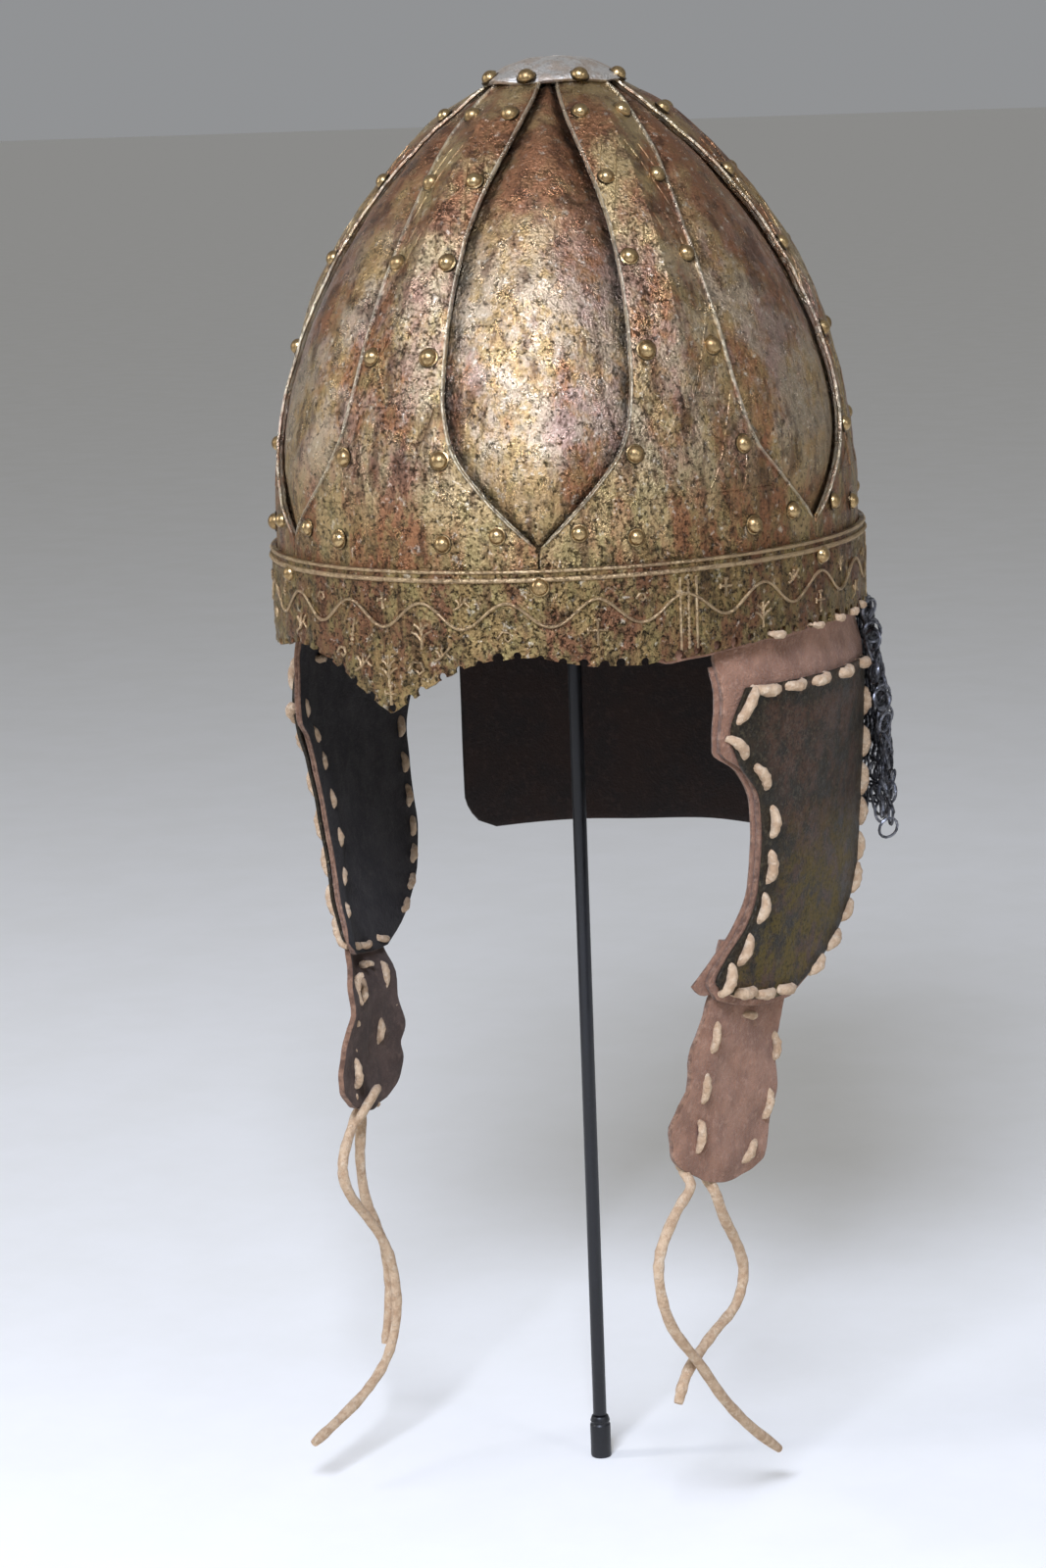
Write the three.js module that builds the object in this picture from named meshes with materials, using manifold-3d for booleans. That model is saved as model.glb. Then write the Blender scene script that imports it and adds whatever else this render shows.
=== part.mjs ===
// A Migration-period spangenhelm on its rod stand.
// Millimetres, +Z up. The origin is the middle of the underside of the stand's foot.
// The wearer faces -Y and the wearer's left is +X. A turn is an angle round the helmet
// from the front towards the wearer's left, in degrees.
import * as THREE from "three";
import { mergeVertices } from "three/addons/utils/BufferGeometryUtils.js";
import Module from "manifold-3d";

const wasm = await Module();
wasm.setup();

// ---------- driving dimensions ----------
const RIM_Z = 320; // height of the brow band's lower edge over the temples
const GAP = 0.3; // clearance between touching pieces

const BAND_LONG = 113; // brow band, half of its length front to back, outside
const BAND_WIDE = 101; // brow band, half of its width, outside
const BAND_HEIGHT = 29.5;
const BAND_SHEET = 1.5;
const BEAD_DROP = 3.3; // rope bead's middle below the band's upper edge
const BEAD_HALF = 1.2;
const BEAD_LIFT = 0.8;
const BAND_RIVET_DROP = 5.6; // the seam rivets below the band's upper edge

const SPRING_Z = RIM_Z + 36; // the crown is upright below this height
const CROWN_ARC = 180; // radius of the crown's ogive profile
const CROWN_SET_BACK = 80; // how far past the axis the ogive's centre lies
const CROWN_LONG = 1.111; // the plan of the crown is an ellipse
const CROWN_WIDE = 0.991;

const SPANGE_COUNT = 6;
const SPANGE_SHEET = 1.6;
const SPANGE_FOOT = -18; // rise of the foot's lower edge, hidden behind the band
const SPANGE_TOP = 176.5; // rise of the upper edge, hidden below the disc
const EDGE_BEAD = 1.5; // width of the bead along a spange's edge
const EDGE_BEAD_LIFT = 0.9;
const PLATE_SHEET = 1.2;
const PLATE_GAP = 0.8; // clearance between a spange and the plate behind it
const PLATE_LAP = 6; // how far an infill plate runs on behind a spange
const PLATE_BULGE = 3.2;

const RIVET_RADIUS = 2.9;
const RIVET_HEIGHT = 2.1;
const DISC_RIVETS = 8;

const LEATHER = 2;
const LINING_LEATHER = 1.8;
const LINING_PEEK = 1; // the lining shows this much below the band
const LINING_TOP = RIM_Z + 15;
const FLAP_GAP = 0.7; // clearance between the layers of a flap, which are not quite parallel
const FLAP_TOP = -10; // depth of the flap leather's upper edge, behind the band
const FLAP_LEAN = 0.12; // a flap leans in this much for each mm that it hangs
const FLAP_LENGTH = 125; // below this depth the chin strap hangs nearly plumb
const STRAP_LEAN = 0.06;
const FLAP_BEND = 124; // radius of the helmet's side at the rim
const FLAP_UNBEND = 1.2; // the flap flattens by this for each mm of depth
const FLAP_FLARE = 2.6; // below the band's edge it stands out by this
const CHEEK_SHEET = 1.3;
const RIGHT_SWING = 0.24; // the right flap is turned out at its back edge
const RIGHT_SWING_Y = -50;
const RIGHT_CURL = 11; // and its lower front corner is curled in
const RIGHT_BELLY = 7; // and its front edge stands further forward half way down
const RIGHT_STRAP_CUT = 6; // and its chin strap is shorter
const RIGHT_BACK = 0.76; // and its back edge is cut narrower

const MAIL_DROP = 84;
const MAIL_WALL = 2.5;
const GUARD_DROP = 98;
const TIE_DIAMETER = 3.8;

const ROD_DIAMETER = 5;
const FOOT_DIAMETER = 7.6;
const FOOT_HEIGHT = 16;
const CAP_Z = 490; // underside of the stand's cap, inside the crown

// Rises at which the crown's pieces have a row of corners.
const CROWN_RISES = [0, 9.4, 20, 29, 38, 52, 75, 104, 124, 144, 161];
// Half-width of an infill panel, in degrees, at each rise above the springing.
const PANEL_OUTLINE = [
  [0, 0.2], [9.4, 5.7], [20, 11.2], [29, 15.1], [38, 17.2], [52, 18.5], [69, 19.1], [87, 19.3],
  [104, 19], [121, 17.4], [144, 13], [162, 8.4], [176.5, 5.2],
];
// Height of a spange's keel over its edges, at each rise.
const KEEL = [[35, 0], [60, 1.5], [90, 3.3], [150, 3.3], [170, 0.8], [176.5, 0]];
// How far the band's lower edge hangs below RIM_Z, at each turn from the front.
const BROW = [
  [0, 18.5], [3, 15.6], [6, 12.2], [10, 7.6], [14, 4], [18, 1.2], [22, 0.1], [27, -0.8],
  [31, 0], [36, 2.2], [42, 3.4], [50, 3.6], [60, 2.4], [75, 0.5], [90, 0], [180, 0],
];
// How far the mail stands out past the band, at each depth below the rim.
const MAIL_FLARE = [[0, 0], [20, 3], [46, 6.5], [67, 7.5], [MAIL_DROP, 5.5]];

// Outlines of the cheek pieces as rows from top to bottom: the front point's distance
// behind the helmet's middle and its depth below the rim, then the back point's.
const FLAP_ROWS = [
  [-48, FLAP_TOP, 58, FLAP_TOP], [-49, 4, 60, 4], [-48.5, 12, 61, 12], [-48.5, 21, 61, 21],
  [-49, 30, 61, 30], [-48.5, 37, 61, 40],
  [-37, 45, 61, 52], [-28.5, 58, 61, 64], [-26, 73, 61, 78], [-26, 88, 61, 94],
  [-32, 100, 54, 108], [-41, 109, 40, 118], [-49, 117, 21, 127], [-44, 124, 1, 133],
];
const CHEEK_PLATE_ROWS = [
  [-40, 16, 50, 19], [-46, 30, 53, 33], [-41.5, 42, 54, 47], [-30, 56, 55, 61],
  [-26.5, 73, 55.5, 77], [-26.5, 88, 55, 93], [-32, 100, 49, 106], [-41, 109, 35, 117],
  [-47, 117, 18, 125], [-41, 122, 0, 130.5],
];
const STRAP_ROWS = [
  [-40, 104, 2, 112], [-42, 119, 2, 128], [-48, 132, 0, 139], [-53, 145, -3, 151],
  [-56, 157, -1, 163], [-61, 168, -4, 173], [-60, 176, -5, 182], [-54, 184, -9, 189],
  [-46, 188, -18, 192],
];
const ROW_SAG = 2.5; // the last row of each outline dips this much in its middle

// Routes of the four thong ties, end to end, from the chin straps down.
const LEFT_TIE_FRONT = [
  [76.3, -54.5, 134.5], [75.8, -66, 126], [75.4, -76, 115], [75.4, -77, 103], [76, -71, 87],
  [76.4, -54, 68], [76, -38, 50], [75, -19, 33], [74.6, 3, 16],
];
const LEFT_TIE_BACK = [
  [76, -39.5, 127.5], [74.6, -32, 114.5], [73, -19.5, 99], [72.4, -15.5, 88], [72, -21, 78],
  [71.8, -37, 72.5], [72, -52, 66.5], [72.4, -58.5, 62], [72.8, -63, 56],
];
const RIGHT_TIE_FRONT = [
  [-74, -43, 136], [-72.8, -50, 129], [-71.8, -55.5, 122.5], [-71.3, -57, 115],
  [-71, -53, 106], [-71, -43.5, 95],
  [-71, -35, 84], [-71, -30, 73], [-71, -28, 60], [-71.4, -29.5, 47], [-72, -36, 36],
  [-73, -48, 28], [-73.6, -63, 23], [-74, -79, 19],
];
const RIGHT_TIE_BACK = [
  [-76, -37.5, 134.5], [-76, -39, 125.5], [-76, -40, 115], [-76, -38, 101], [-76, -32.5, 89],
  [-76, -27.5, 79], [-76, -25.5, 67], [-75.6, -26.5, 54], [-75.2, -30.5, 41],
];

// ---------- finishes ----------
function finish(color, roughness, metalness) {
  return new THREE.MeshStandardMaterial({ color, roughness, metalness });
}
const FINISHES = {
  giltCopper: () => finish("#8d6a41", 0.42, 0.9),
  platedIron: () => finish("#94704a", 0.38, 0.9),
  paleMetal: () => finish("#8d8578", 0.45, 0.9),
  darkBronze: () => finish("#40392a", 0.5, 0.8),
  suede: () => finish("#8b6f63", 0.9, 0),
  darkLeather: () => finish("#33251f", 0.85, 0),
  thong: () => finish("#bb9c78", 0.85, 0),
  ironMail: () => finish("#3a3a3b", 0.5, 0.9),
  blackSteel: () => finish("#17171a", 0.5, 0.7),
};

// ---------- geometry helpers ----------
const radians = THREE.MathUtils.degToRad;

// The value of a list of [position, value] pairs at a position, on straight lines.
function along(table, position) {
  let next = table.findIndex(([at]) => at >= position);
  if (next < 0) return table.at(-1)[1];
  next = Math.max(next, 1);
  const [x0, y0] = table[next - 1];
  const [x1, y1] = table[next];
  const share = THREE.MathUtils.clamp((position - x0) / (x1 - x0), 0, 1);
  return y0 + (y1 - y0) * share;
}

function steps(first, last, count) {
  return Array.from({ length: count + 1 }, (_, i) => first + ((last - first) * i) / count);
}

// A closed body between an outer and an inner skin. Each skin is a function of a column
// and a row; columns run anticlockwise seen from above, and rows run upwards. A ring's
// last column meets its first.
function sheetBody(columns, rows, outer, inner, ring = false) {
  const wide = columns.length;
  const high = rows.length;
  const points = [];
  for (const skin of [outer, inner]) {
    for (const row of rows) {
      for (const column of columns) points.push(skin(column, row));
    }
  }
  const at = (skin, i, j) => skin * wide * high + j * wide + (i % wide);
  const index = [];
  const quad = (a, b, c, d) => index.push(a, b, c, a, c, d);
  const cells = ring ? wide : wide - 1;
  for (let i = 0; i < cells; i++) {
    for (let j = 0; j < high - 1; j++) {
      quad(at(0, i, j), at(0, i + 1, j), at(0, i + 1, j + 1), at(0, i, j + 1));
      quad(at(1, i, j), at(1, i, j + 1), at(1, i + 1, j + 1), at(1, i + 1, j));
    }
    quad(at(1, i, 0), at(1, i + 1, 0), at(0, i + 1, 0), at(0, i, 0));
    quad(at(0, i, high - 1), at(0, i + 1, high - 1), at(1, i + 1, high - 1), at(1, i, high - 1));
  }
  for (let j = 0; j < high - 1 && !ring; j++) {
    quad(at(1, 0, j), at(0, 0, j), at(0, 0, j + 1), at(1, 0, j + 1));
    quad(at(0, cells, j), at(1, cells, j), at(1, cells, j + 1), at(0, cells, j + 1));
  }
  return new THREE.BufferGeometry().setFromPoints(points).setIndex(index);
}

function toSolid(geometry) {
  const bare = geometry.clone();
  bare.deleteAttribute("normal");
  bare.deleteAttribute("uv");
  const merged = mergeVertices(bare, 1e-4);
  const vertProperties = Float32Array.from(merged.attributes.position.array);
  const triVerts = Uint32Array.from(merged.index.array);
  return new wasm.Manifold(new wasm.Mesh({ numProp: 3, vertProperties, triVerts }));
}

function joined(geometries) {
  const whole = geometries.map(toSolid).reduce((sum, next) => sum.add(next));
  const { vertProperties, triVerts } = whole.getMesh();
  const positions = new THREE.Float32BufferAttribute(vertProperties, 3);
  return new THREE.BufferGeometry()
    .setAttribute("position", positions)
    .setIndex(new THREE.Uint32BufferAttribute(triVerts, 1));
}

// ---------- the helmet's surfaces ----------
// A point of the crown: rise is measured up the profile from the springing, and lift is
// how far it stands out of the surface.
function crownPoint(turn, rise, lift) {
  const slope = Math.max(rise, 0) / CROWN_ARC;
  const reach = CROWN_ARC * Math.cos(slope) - CROWN_SET_BACK;
  const out = lift * Math.cos(slope);
  return new THREE.Vector3(
    (reach * CROWN_WIDE + out) * Math.sin(radians(turn)),
    -(reach * CROWN_LONG + out) * Math.cos(radians(turn)),
    SPRING_Z + Math.min(rise, 0) + CROWN_ARC * Math.sin(slope) + lift * Math.sin(slope),
  );
}

// A point of the upright wall that the brow band makes, lift mm outside its outer face.
function wallPoint(turn, z, lift) {
  const x = (BAND_WIDE + lift) * Math.sin(radians(turn));
  const y = -(BAND_LONG + lift) * Math.cos(radians(turn));
  return new THREE.Vector3(x, y, z);
}

function fromFront(turn) {
  return Math.abs(THREE.MathUtils.euclideanModulo(turn + 180, 360) - 180);
}

// A low domed rivet head on the crown or on the band's wall.
function rivetOn(point, outward) {
  const profile = [
    [0, -0.7], [RIVET_RADIUS, -0.7], [RIVET_RADIUS, 0.5], [0, RIVET_HEIGHT],
  ].map(([x, y]) => new THREE.Vector2(x, y));
  const head = new THREE.LatheGeometry(profile, 6);
  const up = new THREE.Vector3(0, 1, 0);
  head.applyQuaternion(new THREE.Quaternion().setFromUnitVectors(up, outward));
  return head.translate(point.x, point.y, point.z);
}

function crownRivet(turn, rise, lift) {
  const foot = crownPoint(turn, rise, lift);
  const outward = crownPoint(turn, rise, lift + 1).sub(foot).normalize();
  return rivetOn(foot, outward);
}

// ---------- crown ----------
function spangeHalfWidth(rise) {
  return SPANGE_COUNT * 5 - along(PANEL_OUTLINE, rise);
}

// Degrees of turn that one millimetre round the crown takes at a rise.
function degreesPerMillimetre(rise) {
  const reach = CROWN_ARC * Math.cos(Math.max(rise, 0) / CROWN_ARC) - CROWN_SET_BACK;
  return THREE.MathUtils.radToDeg(1 / reach);
}

// A spange is a T-footed band with a keel down its middle and a bead along each edge.
function spange(middle) {
  const rises = [SPANGE_FOOT, ...CROWN_RISES, SPANGE_TOP];
  // Columns: [share of the half-width, mm in from the edge, bead lift, share of the keel]
  const edge = [[1, 0, 1, 0], [1, EDGE_BEAD, 1, 0], [1, EDGE_BEAD + 1, 0, 0], [0.45, 0, 0, 0.55]];
  const mirrored = edge.map(([share, inset, bead, keel]) => [-share, -inset, bead, keel]);
  const columns = [...mirrored, [0, 0, 0, 1], ...edge.reverse()];
  const place = ([share, inset, bead, keel], rise, depth) => {
    const turn = share * spangeHalfWidth(rise) - inset * degreesPerMillimetre(rise);
    const isBeaded = depth === 0 && rise > 0 && rise < SPANGE_TOP;
    const beadLift = isBeaded ? bead * EDGE_BEAD_LIFT : 0;
    return crownPoint(middle + turn, rise, keel * along(KEEL, rise) + beadLift - depth);
  };
  const band = sheetBody(
    columns,
    rises,
    (column, rise) => place(column, rise, 0),
    (column, rise) => place(column, rise, SPANGE_SHEET),
  );
  // Rivets: [turn from the middle, rise], in pairs down the edges and across the foot
  const rivets = [[11.6, 156], [8.6, 126], [7.5, 95], [7.4, 62.5], [11.4, 29], [12, 2], [22.6, 4.5]];
  const heads = rivets.flatMap(([turn, rise]) => [
    crownRivet(middle - turn, rise, 0.2),
    crownRivet(middle + turn, rise, 0.2),
  ]);
  return joined([band, ...heads]);
}

// An infill plate bulges out between two spangen and runs on behind their edges.
function infillPlate(middle) {
  const rises = [-PLATE_LAP, ...CROWN_RISES, SPANGE_TOP - PLATE_LAP];
  const columns = [-1, -0.99, -0.5, 0, 0.5, 0.99, 1];
  const place = (column, rise, depth) => {
    const seen = along(PANEL_OUTLINE, rise);
    const full = Math.min(seen + PLATE_LAP * degreesPerMillimetre(rise), 29.3);
    const inside = Math.abs(column) < 1;
    const turn = inside ? column * seen : column * full;
    const dome = inside ? 1 - column * column : 0;
    const bulge = PLATE_BULGE * dome * Math.min(seen / 12, 1);
    return crownPoint(middle + turn, rise, bulge - SPANGE_SHEET - PLATE_GAP - depth);
  };
  return sheetBody(
    columns,
    rises,
    (column, rise) => place(column, rise, 0),
    (column, rise) => place(column, rise, PLATE_SHEET),
  );
}

// The low dome that closes the top, riveted through all six spangen.
function apexDisc() {
  const profile = [
    [0, 165.6], [8, 165], [15, 163.1], [20, 160.5], [24.2, 157.6], [24.2, 159.2],
    [20.5, 162], [15.5, 164.7], [9, 166.6], [0, 167.2],
  ].map(([x, y]) => new THREE.Vector2(x, y));
  const dome = new THREE.LatheGeometry(profile, 24);
  dome.rotateX(Math.PI / 2);
  dome.scale(CROWN_WIDE, CROWN_LONG, 1);
  dome.translate(0, 0, SPRING_Z - 10);
  const heads = steps(0, 360 - 360 / DISC_RIVETS, DISC_RIVETS - 1).map((turn) =>
    crownRivet(turn + 12, 174.5, 2),
  );
  return joined([dome, ...heads]);
}

// ---------- brow band and lining ----------
const BAND_TURNS = [
  ...steps(-60, -20, 10), -16, -12, -8, -4, 0, 4, 8, 12, 16, ...steps(20, 60, 10),
  ...steps(66, 294, 38),
];

function browBand() {
  const top = RIM_Z + BAND_HEIGHT;
  const bead = top - BEAD_DROP;
  const levels = ["brow", RIM_Z + 4, bead - BEAD_HALF, bead, bead + BEAD_HALF, top];
  const place = (turn, level, depth) => {
    const isBrow = level === "brow";
    const z = isBrow ? RIM_Z - along(BROW, fromFront(turn)) : level;
    const isBead = level === bead && depth === 0;
    return wallPoint(turn, z, (isBead ? BEAD_LIFT : 0) - depth);
  };
  const band = sheetBody(
    BAND_TURNS,
    levels,
    (turn, level) => place(turn, level, 0),
    (turn, level) => place(turn, level, BAND_SHEET),
    true,
  );
  const rivets = steps(30, 330, SPANGE_COUNT - 1).map((turn) => {
    const foot = wallPoint(turn, RIM_Z + BAND_HEIGHT - BAND_RIVET_DROP, 0);
    const outward = new THREE.Vector3(Math.sin(radians(turn)), -Math.cos(radians(turn)), 0);
    return rivetOn(foot, outward);
  });
  return joined([band, ...rivets]);
}

function lining() {
  const face = BAND_SHEET + GAP;
  const place = (turn, isTop, depth) => {
    const edge = RIM_Z - along(BROW, fromFront(turn)) - LINING_PEEK;
    return wallPoint(turn, isTop ? LINING_TOP : edge, -face - depth);
  };
  return sheetBody(
    BAND_TURNS,
    [false, true],
    (turn, isTop) => place(turn, isTop, 0),
    (turn, isTop) => place(turn, isTop, LINING_LEATHER),
    true,
  );
}

// ---------- cheek flaps and chin straps ----------
// The outer face of the leather that hangs at one side: side is 1 on the left and -1 on
// the right, y is along the helmet and depth is below the rim.
const FLAP_INSET = BAND_SHEET + LINING_LEATHER + 2 * GAP;

function flapPoint(side, y, depth, lift) {
  const hang = Math.max(depth, 0);
  const wide = BAND_WIDE - FLAP_INSET;
  const long = BAND_LONG - FLAP_INSET;
  const bow = wide - wide * Math.sqrt(1 - (y / long) ** 2);
  const flatter = FLAP_BEND / (FLAP_BEND + FLAP_UNBEND * hang);
  const lean = FLAP_LEAN * Math.min(hang, FLAP_LENGTH)
    + STRAP_LEAN * Math.max(hang - FLAP_LENGTH, 0);
  const flare = FLAP_FLARE * THREE.MathUtils.smoothstep(hang, 4, 18);
  let x = wide - bow * flatter - lean + flare + lift;
  if (side < 0) {
    const { smoothstep } = THREE.MathUtils;
    const swing = smoothstep(hang, 0, 60) - 0.65 * smoothstep(hang, 95, 150);
    const curl = smoothstep(hang, 85, 125) - 0.6 * smoothstep(hang, 130, 165);
    x += RIGHT_SWING * (y - RIGHT_SWING_Y) * swing;
    x -= RIGHT_CURL * smoothstep(-y, 18, 54) * curl;
  }
  return new THREE.Vector3(side * x, y, RIM_Z - depth);
}

function hangingSheet(side, outline, shares, lift, thickness) {
  const rows = [...outline].reverse();
  const place = (share, row, depth) => {
    const [frontY, frontDepth, backY, backDepth] = row;
    const isNarrow = side < 0 && backY > 0;
    const back = isNarrow ? backY * RIGHT_BACK : backY;
    const belly = Math.sin(Math.PI * THREE.MathUtils.clamp((frontDepth - 20) / 80, 0, 1));
    const front = frontY - (side < 0 ? RIGHT_BELLY * belly : 0);
    const y = front + (back - front) * share;
    const sag = row === rows[0] ? ROW_SAG * 4 * share * (1 - share) : 0;
    const whole = frontDepth + (backDepth - frontDepth) * share + sag;
    const cut = side < 0 ? RIGHT_STRAP_CUT * THREE.MathUtils.smoothstep(whole, 150, 190) : 0;
    const down = whole - cut;
    return flapPoint(side, y, down, lift - depth);
  };
  const columns = side > 0 ? shares : [...shares].reverse();
  return sheetBody(
    columns,
    rows,
    (share, row) => place(share, row, 0),
    (share, row) => place(share, row, thickness),
  );
}

const flapLeather = (side) => hangingSheet(side, FLAP_ROWS, steps(0, 1, 10), 0, LEATHER);
const cheekPlate = (side) =>
  hangingSheet(side, CHEEK_PLATE_ROWS, steps(0, 1, 10), FLAP_GAP + CHEEK_SHEET, CHEEK_SHEET);
const chinStrap = (side) =>
  hangingSheet(side, STRAP_ROWS, steps(0, 1, 6), -LEATHER - FLAP_GAP, LEATHER);

function thongTie(route) {
  const path = new THREE.CatmullRomCurve3(route.map((point) => new THREE.Vector3(...point)));
  const section = new THREE.Shape();
  const sides = steps(0, 315, 7).map(
    (angle) => new THREE.Vector2(Math.cos(radians(angle)), Math.sin(radians(angle))),
  );
  section.setFromPoints(sides.map((corner) => corner.multiplyScalar(TIE_DIAMETER / 2)));
  const count = Math.round(path.getLength() / (2 * TIE_DIAMETER));
  return new THREE.ExtrudeGeometry(section, { extrudePath: path, steps: count });
}

// ---------- neck guard and mail ----------
function neckGuard() {
  const depths = [GUARD_DROP, GUARD_DROP - 4, GUARD_DROP - 14, 40, FLAP_TOP];
  // Degrees that the rounded lower corners take off each end
  const corner = [[FLAP_TOP, 0], [GUARD_DROP - 14, 0], [GUARD_DROP - 4, 2.5], [GUARD_DROP, 7]];
  const place = (share, depth, lift) => {
    const cut = along(corner, depth);
    const turn = 126 + cut + share * (242 - 126 - 2 * cut);
    return wallPoint(turn, RIM_Z - depth, lift);
  };
  return sheetBody(
    steps(0, 1, 14),
    depths,
    (share, depth) => place(share, depth, -FLAP_INSET),
    (share, depth) => place(share, depth, -FLAP_INSET - LEATHER),
  );
}

// The curtain of rings, as the one sheet that its rings fill.
function mailCurtain() {
  const depths = [MAIL_DROP, 67, 46, 20, 0.5 + GAP];
  const place = (turn, depth, lift) =>
    wallPoint(turn, RIM_Z - depth, along(MAIL_FLARE, depth) + lift);
  return sheetBody(
    steps(117, 240, 15),
    depths,
    (turn, depth) => place(turn, depth, 1.2),
    (turn, depth) => place(turn, depth, 1.2 - MAIL_WALL),
  );
}

// ---------- stand ----------
function turned(profile, sides) {
  const points = profile.map(([x, y]) => new THREE.Vector2(x, y));
  return new THREE.LatheGeometry(points, sides).rotateX(Math.PI / 2);
}

const standRod = () => {
  const radius = ROD_DIAMETER / 2;
  const bottom = FOOT_HEIGHT + GAP;
  return turned([[0, bottom], [radius, bottom], [radius, CAP_Z - GAP], [0, CAP_Z - GAP]], 16);
};
const standFoot = () => {
  const radius = FOOT_DIAMETER / 2;
  const collar = FOOT_HEIGHT - 3;
  return turned([[0, 0], [radius, 0], [radius, collar], [radius - 0.8, FOOT_HEIGHT], [0, FOOT_HEIGHT]], 24);
};
const standCap = () =>
  turned([[0, 0], [7, 0], [20, 7], [20, 9.5], [12, 12.5], [0, 14]], 24).translate(0, 0, CAP_Z);

// ---------- assembly ----------
const group = new THREE.Group();

function add(name, geometry, material) {
  const mesh = new THREE.Mesh(geometry, material);
  mesh.name = name;
  group.add(mesh);
}

add("apex_disc", apexDisc(), FINISHES.paleMetal());
for (let i = 0; i < SPANGE_COUNT; i++) {
  const turn = (360 / SPANGE_COUNT) * i;
  add(`spange_${i + 1}`, spange(turn), FINISHES.giltCopper());
  add(`infill_plate_${i + 1}`, infillPlate(turn + 30), FINISHES.platedIron());
}
add("brow_band", browBand(), FINISHES.giltCopper());
add("lining_band", lining(), FINISHES.suede());
for (const [name, side] of [["left", 1], ["right", -1]]) {
  add(`cheek_leather_${name}`, flapLeather(side), FINISHES.suede());
  add(`cheek_plate_${name}`, cheekPlate(side), FINISHES.darkBronze());
  add(`chin_strap_${name}`, chinStrap(side), FINISHES.suede());
}
add("tie_left_front", thongTie(LEFT_TIE_FRONT), FINISHES.thong());
add("tie_left_back", thongTie(LEFT_TIE_BACK), FINISHES.thong());
add("tie_right_front", thongTie(RIGHT_TIE_FRONT), FINISHES.thong());
add("tie_right_back", thongTie(RIGHT_TIE_BACK), FINISHES.thong());
add("neck_guard", neckGuard(), FINISHES.darkLeather());
add("mail_curtain", mailCurtain(), FINISHES.ironMail());
add("stand_rod", standRod(), FINISHES.blackSteel());
add("stand_foot", standFoot(), FINISHES.blackSteel());
add("stand_cap", standCap(), FINISHES.blackSteel());

export default group;
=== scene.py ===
# %% [markdown]
# A spangenhelm of the Migration period on a rod stand: six gilt copper bands and six
# plates riveted into an ogival crown, an embossed brow band, laced cheek flaps, chin
# straps with thong ties, a leather neck guard and a curtain of mail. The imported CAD
# model is loaded as a fixed frame, and every visible surface is built round it.
# %% Load the frame
import math
import random

import bpy
from mathutils import Matrix, Quaternion, Vector, noise


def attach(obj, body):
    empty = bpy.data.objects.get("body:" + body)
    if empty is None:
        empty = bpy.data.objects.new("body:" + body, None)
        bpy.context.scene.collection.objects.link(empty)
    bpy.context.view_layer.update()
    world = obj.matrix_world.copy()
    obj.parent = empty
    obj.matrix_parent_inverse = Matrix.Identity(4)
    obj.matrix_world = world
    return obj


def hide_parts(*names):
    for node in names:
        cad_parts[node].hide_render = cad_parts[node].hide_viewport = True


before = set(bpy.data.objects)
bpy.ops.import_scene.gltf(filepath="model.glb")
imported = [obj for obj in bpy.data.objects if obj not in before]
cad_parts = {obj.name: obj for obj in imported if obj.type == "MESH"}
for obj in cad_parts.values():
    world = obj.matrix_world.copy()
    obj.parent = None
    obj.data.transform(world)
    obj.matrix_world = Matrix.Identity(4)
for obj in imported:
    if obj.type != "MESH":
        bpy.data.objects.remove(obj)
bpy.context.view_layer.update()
MM = 0.001
print("nodes in the frame:", len(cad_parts))

# %% [markdown]
# A camera stands before the helmet's left front quarter, a little below the height of its
# top. Its long lens keeps the crown's ogive true, and it is rolled by about two degrees.
# The Standard view transform shows the colours as the materials hold them.
# %% Camera
CAMERA_PLACE = Vector((0.6555, -1.0194, 0.4987))
CAMERA_AIM = Vector((-0.0166, -0.0111, 0.2573))
CAMERA_ROLL = math.radians(-2.13)
LONG_LENS = 78.8

camera_data = bpy.data.cameras.new("camera")
camera_data.lens = LONG_LENS
camera = bpy.data.objects.new("camera", camera_data)
bpy.context.collection.objects.link(camera)
camera.location = CAMERA_PLACE
level = (CAMERA_AIM - CAMERA_PLACE).to_track_quat("-Z", "Y")
camera.rotation_mode = "QUATERNION"
camera.rotation_quaternion = level @ Quaternion((0, 0, 1), CAMERA_ROLL)
bpy.context.scene.camera = camera
bpy.context.scene.view_settings.view_transform = "Standard"
print("camera distance, m:", round((CAMERA_AIM - CAMERA_PLACE).length, 3))

# %% [markdown]
# The driving sizes are the frame's own, in millimetres. A turn is an angle round the
# helmet from its front towards the wearer's left, in degrees. A rise is measured up the
# crown's ogive from where it starts to curve, and a depth is measured down from the rim.
# %% Sizes of the helmet
RIM_Z = 320
BAND_LONG, BAND_WIDE, BAND_HEIGHT, BAND_SHEET = 113, 101, 29.5, 1.5
SPRING_Z = RIM_Z + 36
CROWN_ARC, CROWN_SET_BACK, CROWN_LONG, CROWN_WIDE = 180, 80, 1.111, 0.991
SPANGE_SHEET, SPANGE_FOOT, SPANGE_TOP = 1.6, -18, 176.5
PLATE_GAP, PLATE_SHEET, PLATE_LAP, PLATE_BULGE = 0.8, 1.2, 6, 3.2
LEATHER, LINING_LEATHER, CHEEK_SHEET, FLAP_GAP = 2, 1.8, 1.3, 0.7
FLAP_INSET = BAND_SHEET + LINING_LEATHER + 0.6
FLAP_LEAN, FLAP_LENGTH, STRAP_LEAN = 0.12, 125, 0.06
FLAP_BEND, FLAP_UNBEND, FLAP_FLARE = 124, 1.2, 2.6
RIGHT_SWING, RIGHT_SWING_Y, RIGHT_CURL, RIGHT_BACK = 0.24, -50, 11, 0.76
RIGHT_BELLY, RIGHT_STRAP_CUT = 7, 6
TIE_DIAMETER = 3.8

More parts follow.
